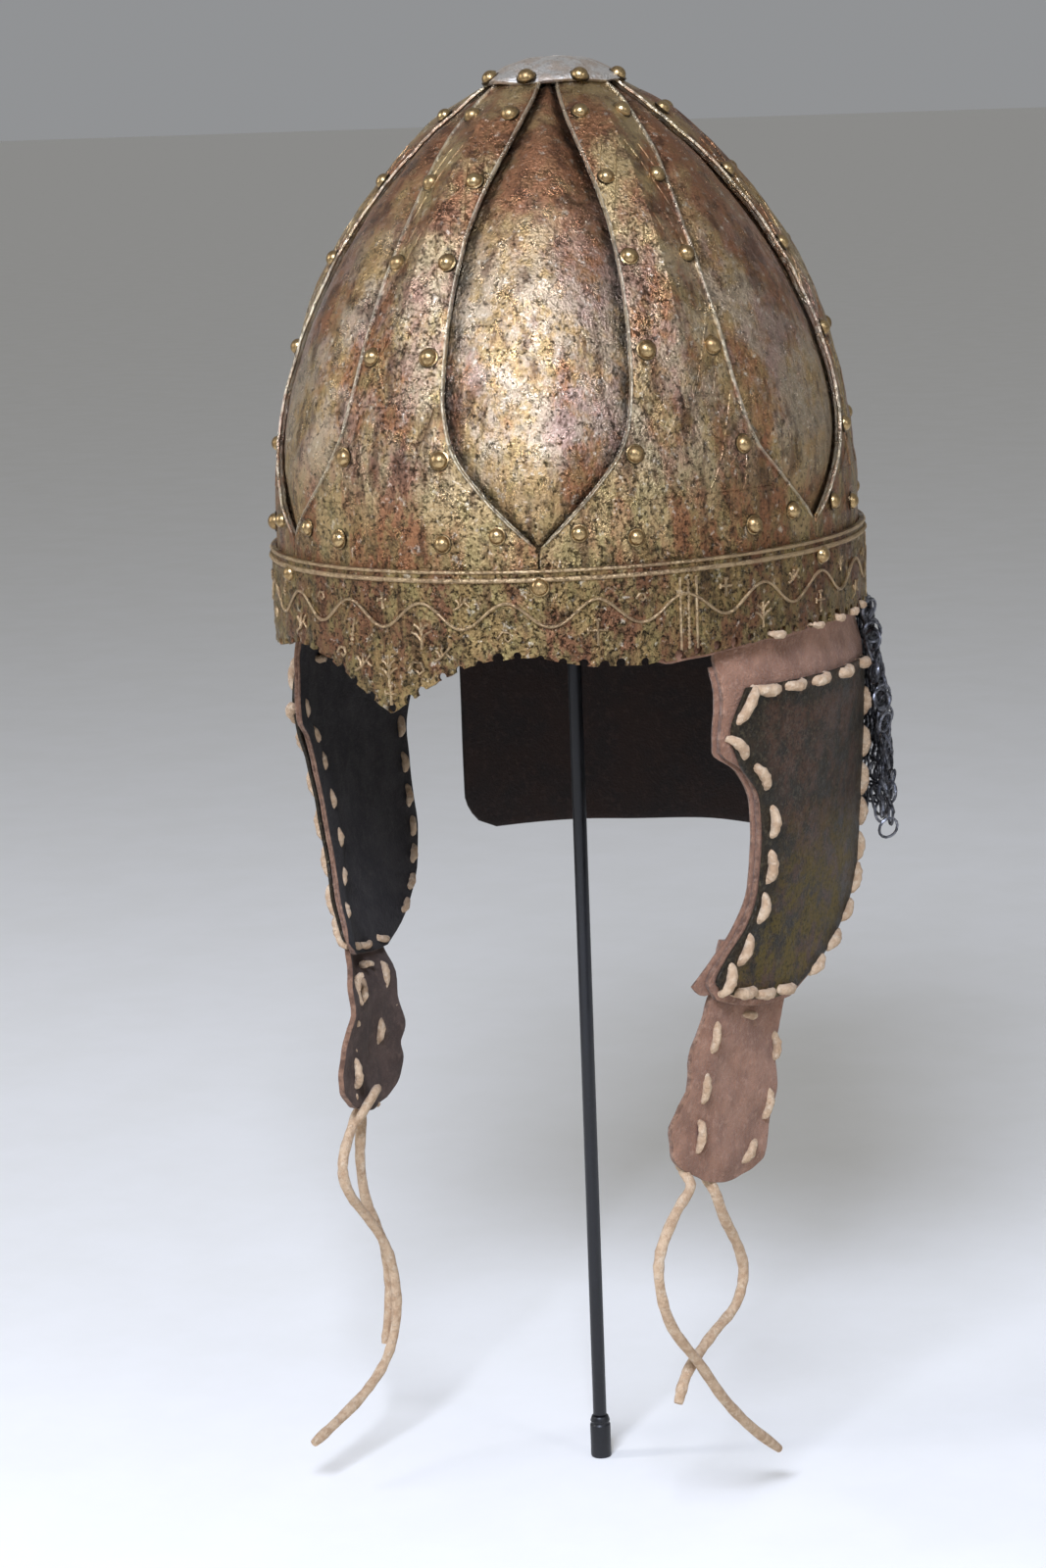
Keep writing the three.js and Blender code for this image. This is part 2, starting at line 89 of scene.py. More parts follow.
PANEL_OUTLINE = [
    (0, 0.2), (9.4, 5.7), (20, 11.2), (29, 15.1), (38, 17.2), (52, 18.5), (69, 19.1), (87, 19.3),
    (104, 19), (121, 17.4), (144, 13), (162, 8.4), (176.5, 5.2),
]
KEEL = [(35, 0), (60, 1.5), (90, 3.3), (150, 3.3), (170, 0.8), (176.5, 0)]
BROW = [
    (0, 18.5), (3, 15.6), (6, 12.2), (10, 7.6), (14, 4), (18, 1.2), (22, 0.1), (27, -0.8),
    (31, 0), (36, 2.2), (42, 3.4), (50, 3.6), (60, 2.4), (75, 0.5), (90, 0), (180, 0),
]


def smooth_step(value, low, high):
    share = min(max((value - low) / (high - low), 0), 1)
    return share * share * (3 - 2 * share)


def along(table, position):
    """Value of a list of (position, value) pairs on a smooth line that never overshoots."""
    if position <= table[0][0]:
        return table[0][1]
    if position >= table[-1][0]:
        return table[-1][1]
    right = next(i for i, (x, _) in enumerate(table) if x >= position)
    slopes = [(b[1] - a[1]) / (b[0] - a[0]) for a, b in zip(table, table[1:])]

    def tangent(i):
        if i == 0 or i == len(table) - 1:
            return slopes[min(i, len(slopes) - 1)]
        before, after = slopes[i - 1], slopes[i]
        return 0 if before * after <= 0 else 2 * before * after / (before + after)

    (x0, y0), (x1, y1) = table[right - 1], table[right]
    width = x1 - x0
    t = (position - x0) / width
    rise_part = (2 * t**3 - 3 * t**2 + 1) * y0 + (3 * t**2 - 2 * t**3) * y1
    bend_part = (t**3 - 2 * t**2 + t) * tangent(right - 1) + (t**3 - t**2) * tangent(right)
    return rise_part + bend_part * width


def from_front(turn):
    return abs((turn + 180) % 360 - 180)


def crown_reach(rise):
    return CROWN_ARC * math.cos(max(rise, 0) / CROWN_ARC) - CROWN_SET_BACK


def crown_point(turn, rise, lift=0):
    """A point of the crown, lift mm out of its surface, in metres."""
    slope = max(rise, 0) / CROWN_ARC
    out = lift * math.cos(slope)
    reach, angle = crown_reach(rise), math.radians(turn)
    x = (reach * CROWN_WIDE + out) * math.sin(angle)
    y = -(reach * CROWN_LONG + out) * math.cos(angle)
    z = SPRING_Z + min(rise, 0) + CROWN_ARC * math.sin(slope) + lift * math.sin(slope)
    return Vector((x, y, z)) * MM


def wall_point(turn, z, lift=0):
    """A point of the brow band's upright outer face, in metres."""
    angle = math.radians(turn)
    x = (BAND_WIDE + lift) * math.sin(angle)
    y = -(BAND_LONG + lift) * math.cos(angle)
    return Vector((x, y, z)) * MM


def flap_point(side, y, depth, lift=0):
    """A point of the outer face of the leather that hangs at one side, in metres."""
    hang = max(depth, 0)
    wide, long = BAND_WIDE - FLAP_INSET, BAND_LONG - FLAP_INSET
    bow = wide - wide * math.sqrt(1 - (y / long) ** 2)
    flatter = FLAP_BEND / (FLAP_BEND + FLAP_UNBEND * hang)
    lean = FLAP_LEAN * min(hang, FLAP_LENGTH) + STRAP_LEAN * max(hang - FLAP_LENGTH, 0)
    x = wide - bow * flatter - lean + FLAP_FLARE * smooth_step(hang, 4, 18) + lift
    if side < 0:
        swing = smooth_step(hang, 0, 60) - 0.65 * smooth_step(hang, 95, 150)
        curl = smooth_step(hang, 85, 125) - 0.6 * smooth_step(hang, 130, 165)
        x += RIGHT_SWING * (y - RIGHT_SWING_Y) * swing
        x -= RIGHT_CURL * smooth_step(-y, 18, 54) * curl
    return Vector((side * x, y, RIM_Z - depth)) * MM


print("apex of the ogive, mm:", round(crown_point(0, 199).z / MM))

# %% [markdown]
# Operators act on whatever is selected, so each step starts from an empty selection.
# These helpers select, apply modifiers, join pieces and give each piece its place in
# the frame: the body it rides on, the CAD nodes it stands for, and its finish.
# %% Helpers for operators
def pick(*objects):
    bpy.ops.object.select_all(action="DESELECT")
    for obj in objects:
        obj.select_set(True)
    bpy.context.view_layer.objects.active = objects[0]


def apply_modifiers(obj):
    pick(obj)
    for modifier in list(obj.modifiers):
        bpy.ops.object.modifier_apply(modifier=modifier.name)


def join(name, objects):
    pick(*objects)
    if len(objects) > 1:
        bpy.ops.object.join()
    whole = bpy.context.view_layer.objects.active
    whole.name = name
    return whole


def smooth(obj, angle=35):
    pick(obj)
    bpy.ops.object.shade_smooth_by_angle(angle=math.radians(angle))


def face_outwards(obj):
    pick(obj)
    bpy.ops.object.mode_set(mode="EDIT")
    bpy.ops.mesh.select_all(action="SELECT")
    bpy.ops.mesh.normals_make_consistent(inside=False)
    bpy.ops.object.mode_set(mode="OBJECT")


def place_piece(obj, finishes, nodes=()):
    if not obj.data.materials:
        for finish in finishes:
            obj.data.materials.append(finish)
    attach(obj, "root")
    if nodes:
        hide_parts(*nodes)
    print(obj.name, "faces:", len(obj.data.polygons))


def finish_piece(obj, angle, finishes, nodes=()):
    apply_modifiers(obj)
    smooth(obj, angle)
    place_piece(obj, finishes, nodes)


def thicken(obj, millimetres):
    """Gives a sheet its wall, inwards from the face that was laid out."""
    wall = obj.modifiers.new("wall", "SOLIDIFY")
    wall.thickness = millimetres * MM
    wall.offset = -1


def round_edges(obj, millimetres, angle=50):
    bevel = obj.modifiers.new("round", "BEVEL")
    bevel.width = millimetres * MM
    bevel.segments = 2
    bevel.limit_method = "ANGLE"
    bevel.angle_limit = math.radians(angle)


# %% [markdown]
# A beaten sheet is a flat blank worked over a form. The same is done here: a grid is
# added flat, and each of its corners is moved to its place on the helmet by a function
# of two shares, one across the sheet and one up it.
# %% Helper for beaten sheets
def beaten_sheet(name, across, up, place, closed=False):
    """A grid of across by up faces whose corners are set by place(share, share)."""
    pick(camera)
    bpy.ops.mesh.primitive_grid_add(x_subdivisions=across, y_subdivisions=up, size=1)
    sheet = bpy.context.object
    sheet.name = name
    for corner in sheet.data.vertices:
        corner.co = place(corner.co.x + 0.5, corner.co.y + 0.5)
    if closed:
        bpy.ops.object.mode_set(mode="EDIT")
        bpy.ops.mesh.select_all(action="SELECT")
        bpy.ops.mesh.remove_doubles(threshold=0.00002)
        bpy.ops.object.mode_set(mode="OBJECT")
    return sheet


def hammered(point, millimetres, size):
    """Uneven lift left by the hammer, up to some millimetres over dents of a size."""
    return millimetres * noise.noise(point / (size * MM))


# %% [markdown]
# Thongs, wire and raised lines are all a round section swept along a path. A curve with
# a bevel does that, and its radius at each point thins or swells it.
# %% Helper for swept lines
def swept(name, points, diameter, radii=None, sides=2, cyclic=False, smooth_path=True):
    """A curve object through points in metres; sides is the bevel's resolution."""
    data = bpy.data.curves.new(name, "CURVE")
    data.dimensions = "3D"
    data.bevel_depth = diameter / 2 * MM
    data.bevel_resolution = sides
    data.use_fill_caps = True
    data.resolution_u = 4 if smooth_path else 1
    spline = data.splines.new("NURBS" if smooth_path else "POLY")
    spline.points.add(len(points) - 1)
    for i, (target, point) in enumerate(zip(spline.points, points)):
        target.co = (*point, 1)
        target.radius = radii[i] if radii else 1
    if smooth_path:
        spline.order_u = min(4, len(points))
        spline.use_endpoint_u = True
    spline.use_cyclic_u = cyclic
    obj = bpy.data.objects.new(name, data)
    bpy.context.collection.objects.link(obj)
    return obj


def to_mesh(*objects):
    pick(*objects)
    bpy.ops.object.convert(target="MESH")
    return list(bpy.context.selected_objects)


def spline_through(points, count):
    """Points of a smooth line through points, evenly spread over its pieces."""
    ends = [points[0] * 2 - points[1], *points, points[-1] * 2 - points[-2]]
    line = []
    for a, b, c, d in zip(ends, ends[1:], ends[2:], ends[3:]):
        for k in range(count):
            t = k / count
            bend = (a * -1 + b * 3 - c * 3 + d) * t**3 + (a * 2 - b * 5 + c * 4 - d) * t**2
            line.append((bend + (c - a) * t) / 2 + b)
    return [*line, points[-1]]


# %% [markdown]
# Materials are small node trees. One function turns a sRGB hex colour to linear, and one
# adds a node, fills and links its inputs, and gives back one output. Every pattern is
# sized in millimetres on the object's own coordinates, so it keeps its place when the
# helmet is seen from another side.
# %% Helpers for materials
def linear(hex_colour):
    parts = [int(hex_colour[i : i + 2], 16) / 255 for i in (1, 3, 5)]
    return (*[c / 12.92 if c <= 0.04045 else ((c + 0.055) / 1.055) ** 2.4 for c in parts], 1)


def add_node(tree, kind, inputs=None, output=0, **settings):
    made = tree.nodes.new("ShaderNode" + kind)
    for key, value in settings.items():
        setattr(made, key, value)
    for key, value in (inputs or {}).items():
        if isinstance(value, bpy.types.NodeSocket):
            tree.links.new(value, made.inputs[key])
        else:
            made.inputs[key].default_value = value
    return made.outputs[output]


def new_finish(name, **constants):
    """A material with its shader's constant values set on the sockets themselves."""
    material = bpy.data.materials.new(name)
    material.use_nodes = True
    shader = material.node_tree.nodes["Principled BSDF"]
    for key, value in constants.items():
        shader.inputs[key.replace("_", " ")].default_value = value
    place = add_node(material.node_tree, "TexCoord", output="Object")
    return material, material.node_tree, shader, place


def worn_spots(
        tree, place, size, low, high, stretch=(1, 1, 1), detail=5, roughness=0.65, where=None):
    """Uneven spots of a size in mm, none below the noise's low level, full above its high."""
    scaled = add_node(tree, "Mapping", {"Vector": place, "Scale": stretch})
    noise_value = add_node(tree, "TexNoise", {
        "Vector": scaled, "Scale": 1 / (size * MM), "Detail": detail, "Roughness": roughness,
    })
    spots = add_node(tree, "MapRange", {
        "Value": noise_value, "From Min": low, "From Max": high,
    }, interpolation_type="SMOOTHSTEP")
    if where is None:
        return spots
    return add_node(tree, "Math", {0: spots, 1: where}, operation="MULTIPLY")


def tint(tree, colour, spots, share, hex_colour):
    """Lays a colour over what is there, where the spots are, up to a share."""
    amount = add_node(tree, "Math", {0: spots, 1: share}, operation="MULTIPLY")
    return add_node(tree, "Mix", {
        0: amount, 6: colour, 7: linear(hex_colour),
    }, output=2, data_type="RGBA")


def finish_surface(tree, shader, colour, rough_spots, smoothest, roughest, relief, depth):
    """Links colour, a roughness between two levels, and a relief of a depth in mm."""
    tree.links.new(colour, shader.inputs["Base Color"])
    rough = add_node(tree, "MapRange", {
        "Value": rough_spots, "To Min": smoothest, "To Max": roughest,
    })
    tree.links.new(rough, shader.inputs["Roughness"])
    bump = add_node(tree, "Bump", {"Height": relief, "Distance": depth * MM})
    tree.links.new(bump, shader.inputs["Normal"])


# %% [markdown]
# Gilt copper is thin gold over beaten copper. Where it is worn, the copper shows brown
# red in patches as long as a hammer stroke, about 28 mm. Round the crown's middle height a
# silvery grey is painted in as a painted highlight, standing for the gleam of the light. An
# olive gold mottling of 5 mm is the old gilding, a dark patina of 4 mm and black grime of
# 1 to 2 mm sit in the pits, most of all low down. One recipe serves the spangen, the plates
# and the band, with shares of their own. The metal shader with a roughness that changes over
# millimetres gives the broken, soft gleam.
# %% Gilded metals
ROUGHNESS_SPREAD = 0.26


def gilded(name, gold, copper, patch, smoothest, olive, pits, edge_hex, edge_share, painted_highlight_share):
    """A gilt finish; patch is in mm, pits is the noise level where grime starts."""
    material, tree, shader, place = new_finish(name, Metallic=0.9)
    patches = worn_spots(tree, place, patch, 0.42, 0.56, (1, 1, 0.4))
    colour = tint(tree, linear(gold), patches, 1.0, copper)
    height = add_node(tree, "SeparateXYZ", {0: place}, output=2)
    low_down = add_node(tree, "MapRange", {
        "Value": height, "From Min": 0.50, "From Max": 0.34, "To Min": 0.15, "To Max": 1.0,
    })
    mottling = worn_spots(tree, place, 5, 0.47, 0.57, (1, 1, 0.6))
    olive_low = add_node(tree, "Math", {0: mottling, 1: low_down}, operation="MULTIPLY")
    colour = tint(tree, colour, olive_low, olive, "#8e8355")
    # Painted highlight: the middle, not_low and rubbed nodes lay a silvery grey round the crown's
    # middle height, standing for the gleam of the light.
    middle = add_node(tree, "MapRange", {
        "Value": height, "From Min": 0.475, "From Max": 0.43,
    }, interpolation_type="SMOOTHSTEP")
    not_low = add_node(tree, "MapRange", {
        "Value": height, "From Min": 0.36, "From Max": 0.395,
    }, interpolation_type="SMOOTHSTEP")
    middle = add_node(tree, "Math", {0: middle, 1: not_low}, operation="MULTIPLY")
    rubbed = worn_spots(tree, place, 15, 0.42, 0.56, (1, 1, 0.7), roughness=0.75, where=middle)
    colour = tint(tree, colour, rubbed, painted_highlight_share, "#c3beb9")
    bright = worn_spots(tree, place, 2.6, 0.58, 0.68)
    colour = tint(tree, colour, bright, 0.5, "#e2d8c4")
    streaks = worn_spots(tree, place, 7, 0.52, 0.64, (1, 1, 0.2))
    colour = tint(tree, colour, streaks, 0.65, "#54382a")
    patina = worn_spots(
        tree, place, 3.6, 0.5, 0.6, (1, 1, 0.8), detail=8, roughness=0.8, where=low_down)
    colour = tint(tree, colour, patina, 0.7, "#3d3324")
    deep = add_node(tree, "MapRange", {"Value": low_down, "To Min": 0.45, "To Max": 1.0})
    grime = worn_spots(tree, place, 1.5, pits, pits + 0.09, detail=7, roughness=0.78, where=deep)
    colour = tint(tree, colour, grime, 0.9, "#1f1a14")
    # The edge value paints each piece's own edge colour: a painted highlight on the spangen's beads,
    # a black band of grime with painted shade by the plates' seen edges, and a paler tint on the
    # band's ornament lines.
    edge = add_node(tree, "Attribute", output="Fac", attribute_name="edge")
    ragged = add_node(tree, "Math", {0: mottling, 1: 0.8}, operation="ADD")
    edge = add_node(tree, "Math", {0: edge, 1: ragged}, operation="MULTIPLY", use_clamp=True)
    colour = tint(tree, colour, edge, edge_share, edge_hex)
    grain = worn_spots(tree, place, 0.9, 0.3, 0.7, detail=3)
    relief = add_node(tree, "Math", {0: grain, 1: 0.35, 2: 0.4}, operation="MULTIPLY_ADD")
    relief = add_node(tree, "Math", {0: relief, 1: grime}, operation="SUBTRACT")
    polish = worn_spots(tree, place, 8, 0.35, 0.65)
    dull = add_node(tree, "Math", {0: polish, 1: grime}, operation="MAXIMUM")
    finish_surface(tree, shader, colour, dull, smoothest, smoothest + ROUGHNESS_SPREAD, relief, 0.45)
    return material


# On the spangen the edge value paints the beads pale: a painted highlight along each bead.
SPANGE_METAL = gilded(
    "gilt copper, beaten", gold="#b0966a", copper="#956848", patch=27, smoothest=0.23,
    olive=0.5, pits=0.53, edge_hex="#d4c8ae", edge_share=0.6, painted_highlight_share=0.2)
# On the plates the edge value paints a black band by the seen edges: grime with painted shade.
PLATE_METAL = gilded(
    "copper-plated iron, painted highlight", gold="#b09164", copper="#966849", patch=34,
    smoothest=0.2, olive=0.4, pits=0.552, edge_hex="#1b1c17", edge_share=0.7, painted_highlight_share=0.3)
BAND_METAL = gilded(
    "gilt copper, embossed", gold="#937a50", copper="#7d583f", patch=16, smoothest=0.28,
    olive=0.5, pits=0.515, edge_hex="#c9ad86", edge_share=0.7, painted_highlight_share=0.0)
print("gilded finishes:", SPANGE_METAL.name, "/", PLATE_METAL.name, "/", BAND_METAL.name)

# %% [markdown]
# The other metals are darker or plainer: a pale tinned disc brushed outwards, rubbed
# brass rivets with painted shade round their feet, bronze with a black-brown patina on the
# cheek plates, blackened iron wire, and steel under black satin paint.
# %% Other metals
def patinated(name, main, second, speck, size, levels, metallic, depth, stretch=(1, 1, 1)):
    material, tree, shader, place = new_finish(name, Metallic=metallic)
    cloud = worn_spots(tree, place, size, 0.4, 0.6, stretch)
    colour = tint(tree, linear(main), cloud, 1.0, second)
    sparse = worn_spots(tree, place, 1.4, 0.56, 0.64, stretch, roughness=0.75)
    colour = tint(tree, colour, sparse, 0.6, speck)
    # The edge value is painted near black: on the rivets it is painted shade round each foot.
    edge = add_node(tree, "Attribute", output="Fac", attribute_name="edge")
    colour = tint(tree, colour, edge, 0.9, "#14110d")
    grain = worn_spots(tree, place, 0.9, 0.3, 0.7, stretch, detail=3)
    finish_surface(tree, shader, colour, cloud, levels[0], levels[1], grain, depth)
    return material


DISC_METAL = patinated(
    "tinned copper, hammered", "#e2dbd0", "#bdad9b", "#5d554b", 6, (0.34, 0.52), 0.88, 0.2)
RIVET_METAL = patinated(
    "brass, cast and rubbed", "#b89d70", "#917650", "#4a3d28", 2.6, (0.24, 0.4), 0.95, 0.04)
MAIL_METAL = patinated(
    "iron wire, blackened", "#7c7c80", "#3d3d3f", "#98979a", 3, (0.32, 0.5), 0.85, 0.05)
STAND_PAINT = patinated(
    "black satin paint on steel", "#141416", "#1a1a1d", "#222226", 20, (0.36, 0.46), 0.1, 0.02)
print("plain metals:", DISC_METAL.name, "/", RIVET_METAL.name, "/", MAIL_METAL.name)

# %% [markdown]
# A cheek plate has its own story: black patina at the edges, a rubbed red-brown centre,
# and an olive gold patch where the old gilding lasted low down. Its mottling is fine, from
# 14 mm clouds to pits of 1.3 mm, and a half metallic shader keeps it dark with a dull gleam.
# %% Cheek plate bronze
def cheek_bronze():
    material, tree, shader, place = new_finish("bronze, black-brown patina", Metallic=0.6)
    height = add_node(tree, "SeparateXYZ", {0: place}, output=2)
    cloud = worn_spots(tree, place, 9, 0.38, 0.62, roughness=0.75)
    colour = tint(tree, linear("#29241a"), cloud, 1.0, "#382e20")
    edge = add_node(tree, "Attribute", output="Fac", attribute_name="edge")
    inner = add_node(tree, "MapRange", {"Value": edge, "From Min": 1.0, "From Max": 0.0})
    red = worn_spots(tree, place, 14, 0.42, 0.6, roughness=0.75, where=inner)
    colour = tint(tree, colour, red, 0.8, "#5c4030")
    low_down = add_node(tree, "MapRange", {
        "Value": height, "From Min": 0.265, "From Max": 0.225,
    }, interpolation_type="SMOOTHSTEP")
    olive = worn_spots(tree, place, 9, 0.42, 0.58, roughness=0.75, where=low_down)
    olive = add_node(tree, "Math", {0: olive, 1: inner}, operation="MULTIPLY")
    colour = tint(tree, colour, olive, 0.85, "#6a5924")
    speck = worn_spots(tree, place, 1.8, 0.5, 0.62, roughness=0.8)
    colour = tint(tree, colour, speck, 0.35, "#7a6e52")
    pits = worn_spots(tree, place, 1.3, 0.5, 0.6, roughness=0.8)
    colour = tint(tree, colour, pits, 0.8, "#15130f")
    finish_surface(tree, shader, colour, cloud, 0.4, 0.6, speck, 0.3)
    return material


CHEEK_METAL = cheek_bronze()
print("cheek plates:", CHEEK_METAL.name)

# %% [markdown]
# Leather: brown suede outside, and a flesh side inside that is painted in two copies, a
# near-black one as painted shade and a lighter one as painted light on the lit inside of the
# chin straps; a raw cut edge, an oiled hide for the neck guard painted near black as painted
# shade, and rawhide thong. A nap scatters light and has no gloss, so suede gets a little
# sheen, a high roughness and a fibrous relief of about 1 mm grain.
# %% Leathers
def hide(name, main, second, rubbed, size, nap, sheen=0.2, rough=(0.8, 0.95)):
    material, tree, shader, place = new_finish(name, Sheen_Weight=sheen)
    shader.inputs["Specular IOR Level"].default_value = 0.25
    cloud = worn_spots(tree, place, size, 0.36, 0.64)
    colour = tint(tree, linear(main), cloud, 1.0, second)
    handled = worn_spots(tree, place, 2.6, 0.5, 0.66)
    colour = tint(tree, colour, handled, 0.45, rubbed)
    fibres = worn_spots(tree, place, 1, 0.3, 0.7, detail=4)
    relief = add_node(tree, "Math", {0: handled, 1: 0.6, 2: fibres}, operation="MULTIPLY_ADD")
    finish_surface(tree, shader, colour, cloud, rough[0], rough[1], relief, nap)
    return material


SUEDE = hide("suede, brown", "#9c7259", "#825c46", "#b68d74", 13, 0.3)
# Painted shade and painted light: one flesh side in two copies, near black for the shaded insides,
# lighter for the lit inside of the chin straps.
SHADED_FLESH_SIDE = hide("suede flesh side, painted shade", "#2f2a28", "#252120", "#403a37", 13, 0.2, 0.04)
LIT_FLESH_SIDE = hide("suede flesh side, painted light", "#57453c", "#46372f", "#6b574b", 13, 0.2, 0.05)
CUT_EDGE = hide("leather, raw cut edge", "#83624c", "#5d4334", "#a5836a", 3, 0.2)
# Painted shade: the neck guard's hide is painted near black, the shade inside the helmet.
SHADED_HIDE = hide("oiled hide, painted shade", "#231a16", "#30231d", "#41312a", 18, 0.15, 0.03, (0.6, 0.75))
RAWHIDE = hide("rawhide thong, pale", "#cdb08f", "#b39373", "#e6d2b4", 3.5, 0.3, 0.1)
print("leathers:", SUEDE.name, "/", SHADED_FLESH_SIDE.name, "/", SHADED_HIDE.name, "/", RAWHIDE.name)

# %% [markdown]
# The ties are four leather thongs that hang free from the chin straps. Each is a round
# section swept along its route, thinned and swollen a little as cut thong is. The left
# ones come out from behind their strap, so two points more root them there. They are made
# first, because a free cord has to have its real length.
# %% Hanging thong ties
TIE_ROUTES = {
    "tie_left_front": [
        (75.6, -55.5, 132), (75.8, -66, 126), (75.4, -76, 115), (75.4, -77, 103),
        (76, -71, 87), (76.4, -54, 68), (76, -38, 50), (75, -19, 33), (74.6, 3, 16),
    ],
    "tie_left_back": [
        (75.2, -38.5, 125.5), (74.6, -32, 114.5), (73, -19.5, 99), (72.4, -15.5, 88),
        (72, -21, 78), (71.8, -37, 72.5), (72, -52, 66.5), (72.4, -58.5, 62), (72.8, -63, 56),
    ],
    "tie_right_front": [
        (-74, -43, 136), (-72.8, -50, 129), (-71.8, -55.5, 122.5), (-71.3, -57, 115),
        (-71, -53, 106), (-71, -43.5, 95), (-71, -35, 84), (-71, -30, 73), (-71, -28, 60),
        (-71.4, -29.5, 47), (-72, -36, 36), (-73, -48, 28), (-73.6, -63, 23), (-74, -79, 19),
    ],
    "tie_right_back": [
        (-76, -37.5, 134.5), (-76, -39, 125.5), (-76, -40, 115), (-76, -38, 101),
        (-76, -32.5, 89), (-76, -27.5, 79), (-76, -25.5, 67), (-75.6, -26.5, 54),
        (-75.2, -30.5, 41),
    ],
}
TIE_ROOTS = {
    "tie_left_front": [(69.6, -53.2, 140), (72.6, -53.8, 136)],
    "tie_left_back": [(69.2, -39, 134.5), (72, -39.3, 130.5)],
}
thong_random = random.Random(7)


def hanging_tie(name, route):
    whole = [*TIE_ROOTS.get(name, []), *route]
    line = spline_through([Vector(point) * MM for point in whole], 5)
    length = sum((b - a).length for a, b in zip(line, line[1:]))
    radii = [1 + thong_random.uniform(-0.1, 0.1) for _ in line]
    radii[0] = radii[-1] = 0.8
    tie = swept(name + "_thong", line, TIE_DIAMETER, radii, sides=3, smooth_path=False)
    tie.data.materials.append(RAWHIDE)
    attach(tie, "root")
    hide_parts(name)
    print(name, "length, mm:", round(length / MM))


for tie_name, tie_route in TIE_ROUTES.items():
    hanging_tie(tie_name, tie_route)

# %% [markdown]
# A spange is a strip of beaten copper, widest at its foot and drawn in towards the top,
# with a sharp keel down its middle and a turned bead along each edge. Box modelling
# would have to bend a flat strip two ways, so a grid is laid out with close columns
# where the beads are, and wrapped onto the crown. Solidify then gives it its wall.
# %% Spangen
CROWN_ROWS = 84
EDGE_LIFT = 0.9
BEAD_COLUMNS = [(0, 0.2), (0.35, 1), (0.85, 1), (1.3, 0)]


def spange_columns():
    """(share of the half width, mm in from the edge, lift of the bead) across a spange."""
    left = [(-1, inset, bead) for inset, bead in BEAD_COLUMNS]
    right = [(1, inset, bead) for inset, bead in reversed(BEAD_COLUMNS)]
    return [*left, *[(k / 7, 0, 0) for k in range(-6, 7)], *right]


COLUMNS = spange_columns()


def mark_edges(obj, values):
    layer = obj.data.attributes.new("edge", "FLOAT", "POINT")
    layer.data.foreach_set("value", values)


def spange(number):
    middle = 60 * (number - 1)

    def place(across, up):
        share, inset, bead = COLUMNS[round(across * (len(COLUMNS) - 1))]
        rise = SPANGE_FOOT + up * (SPANGE_TOP - SPANGE_FOOT)
        half = 30 - along(PANEL_OUTLINE, rise)
        turn = middle + share * half - math.copysign(math.degrees(inset / crown_reach(rise)), share)
        lift = along(KEEL, rise) * (1 - abs(share)) + bead * EDGE_LIFT * smooth_step(rise, 0, 5)
        ground = crown_point(turn, rise)
        lift += hammered(ground, 0.45, 11) + hammered(ground, 0.22, 4)
        return crown_point(turn, rise, lift)

    sheet = beaten_sheet(f"spange_{number}_sheet", len(COLUMNS) - 1, CROWN_ROWS, place)
    wide = len(COLUMNS)
    rows = len(sheet.data.vertices) // wide
    beads = [bead for _, _, bead in COLUMNS]
    # The bead columns carry the edge value, which the spangen's finish paints pale as a painted
    # highlight along the beads.
    mark_edges(sheet, [beads[i % wide] * (i // wide > rows * 0.1) for i in range(wide * rows)])
    thicken(sheet, SPANGE_SHEET)
    finish_piece(sheet, 17, [SPANGE_METAL], [f"spange_{number}"])


for spange_number in range(1, 7):
    spange(spange_number)

# %% [markdown]
# Six leaf-shaped plates close the gaps. Each one bulges out between two spangen and runs
# on behind their edges, where centuries of polish never reached, so it carries a value
# along its seen edge that its finish turns into a black band: grime in the joint, and
# painted shade under the spange's raised edge.
# %% Infill plates
# Each dent is (turn from the middle, rise, lift, size), all but the turn in mm.
PLATE_COLUMNS = 22
GRIME_AND_SHADE_BAND = 4.2
LOW_DENTS = [(-6, 33, 0.9, 4), (5.1, 30, 0.9, 4), (-0.5, 45, -0.8, 9), (-3, 78, 0.5, 12)]


def infill_plate(number):
    middle = 60 * number - 30
    edges = []

    def place(across, up):
        rise = -PLATE_LAP + up * (SPANGE_TOP + PLATE_LAP - 2)
        reach = crown_reach(rise)
        seen = along(PANEL_OUTLINE, rise)
        column = round(across * PLATE_COLUMNS)
        share = (column - 1) / (PLATE_COLUMNS - 2) * 2 - 1
        if column in (0, PLATE_COLUMNS):
            lap = math.degrees(PLATE_LAP / reach)
            turn = math.copysign(min(seen + lap, 29.3), share)
        else:
            turn = share * seen
        dome = max(1 - share * share, 0)
        lift = PLATE_BULGE * dome * min(seen / 12, 1) - SPANGE_SHEET - PLATE_GAP
        for dent_turn, dent_rise, dent_lift, size in LOW_DENTS:
            away = math.hypot(math.radians(turn - dent_turn) * reach, rise - dent_rise)
            lift += dent_lift * math.exp(-((away / size) ** 2)) * dome
        ground = crown_point(middle + turn, rise)
        lift += (hammered(ground, 0.6, 14) + hammered(ground, 0.3, 5)) * min(dome * 3, 1)
        inward = (seen - abs(turn)) * math.radians(1) * reach
        # Grime and painted shade: the edge value darkens the plate next to the spange's edge.
        edges.append(1 - smooth_step(inward, 0.8, GRIME_AND_SHADE_BAND))
        return crown_point(middle + turn, rise, lift)

    sheet = beaten_sheet(f"infill_plate_{number}_sheet", PLATE_COLUMNS, CROWN_ROWS, place)
    mark_edges(sheet, edges)
    thicken(sheet, PLATE_SHEET)
    finish_piece(sheet, 30, [PLATE_METAL], [f"infill_plate_{number}"])


for plate_number in range(1, 7):
    infill_plate(plate_number)

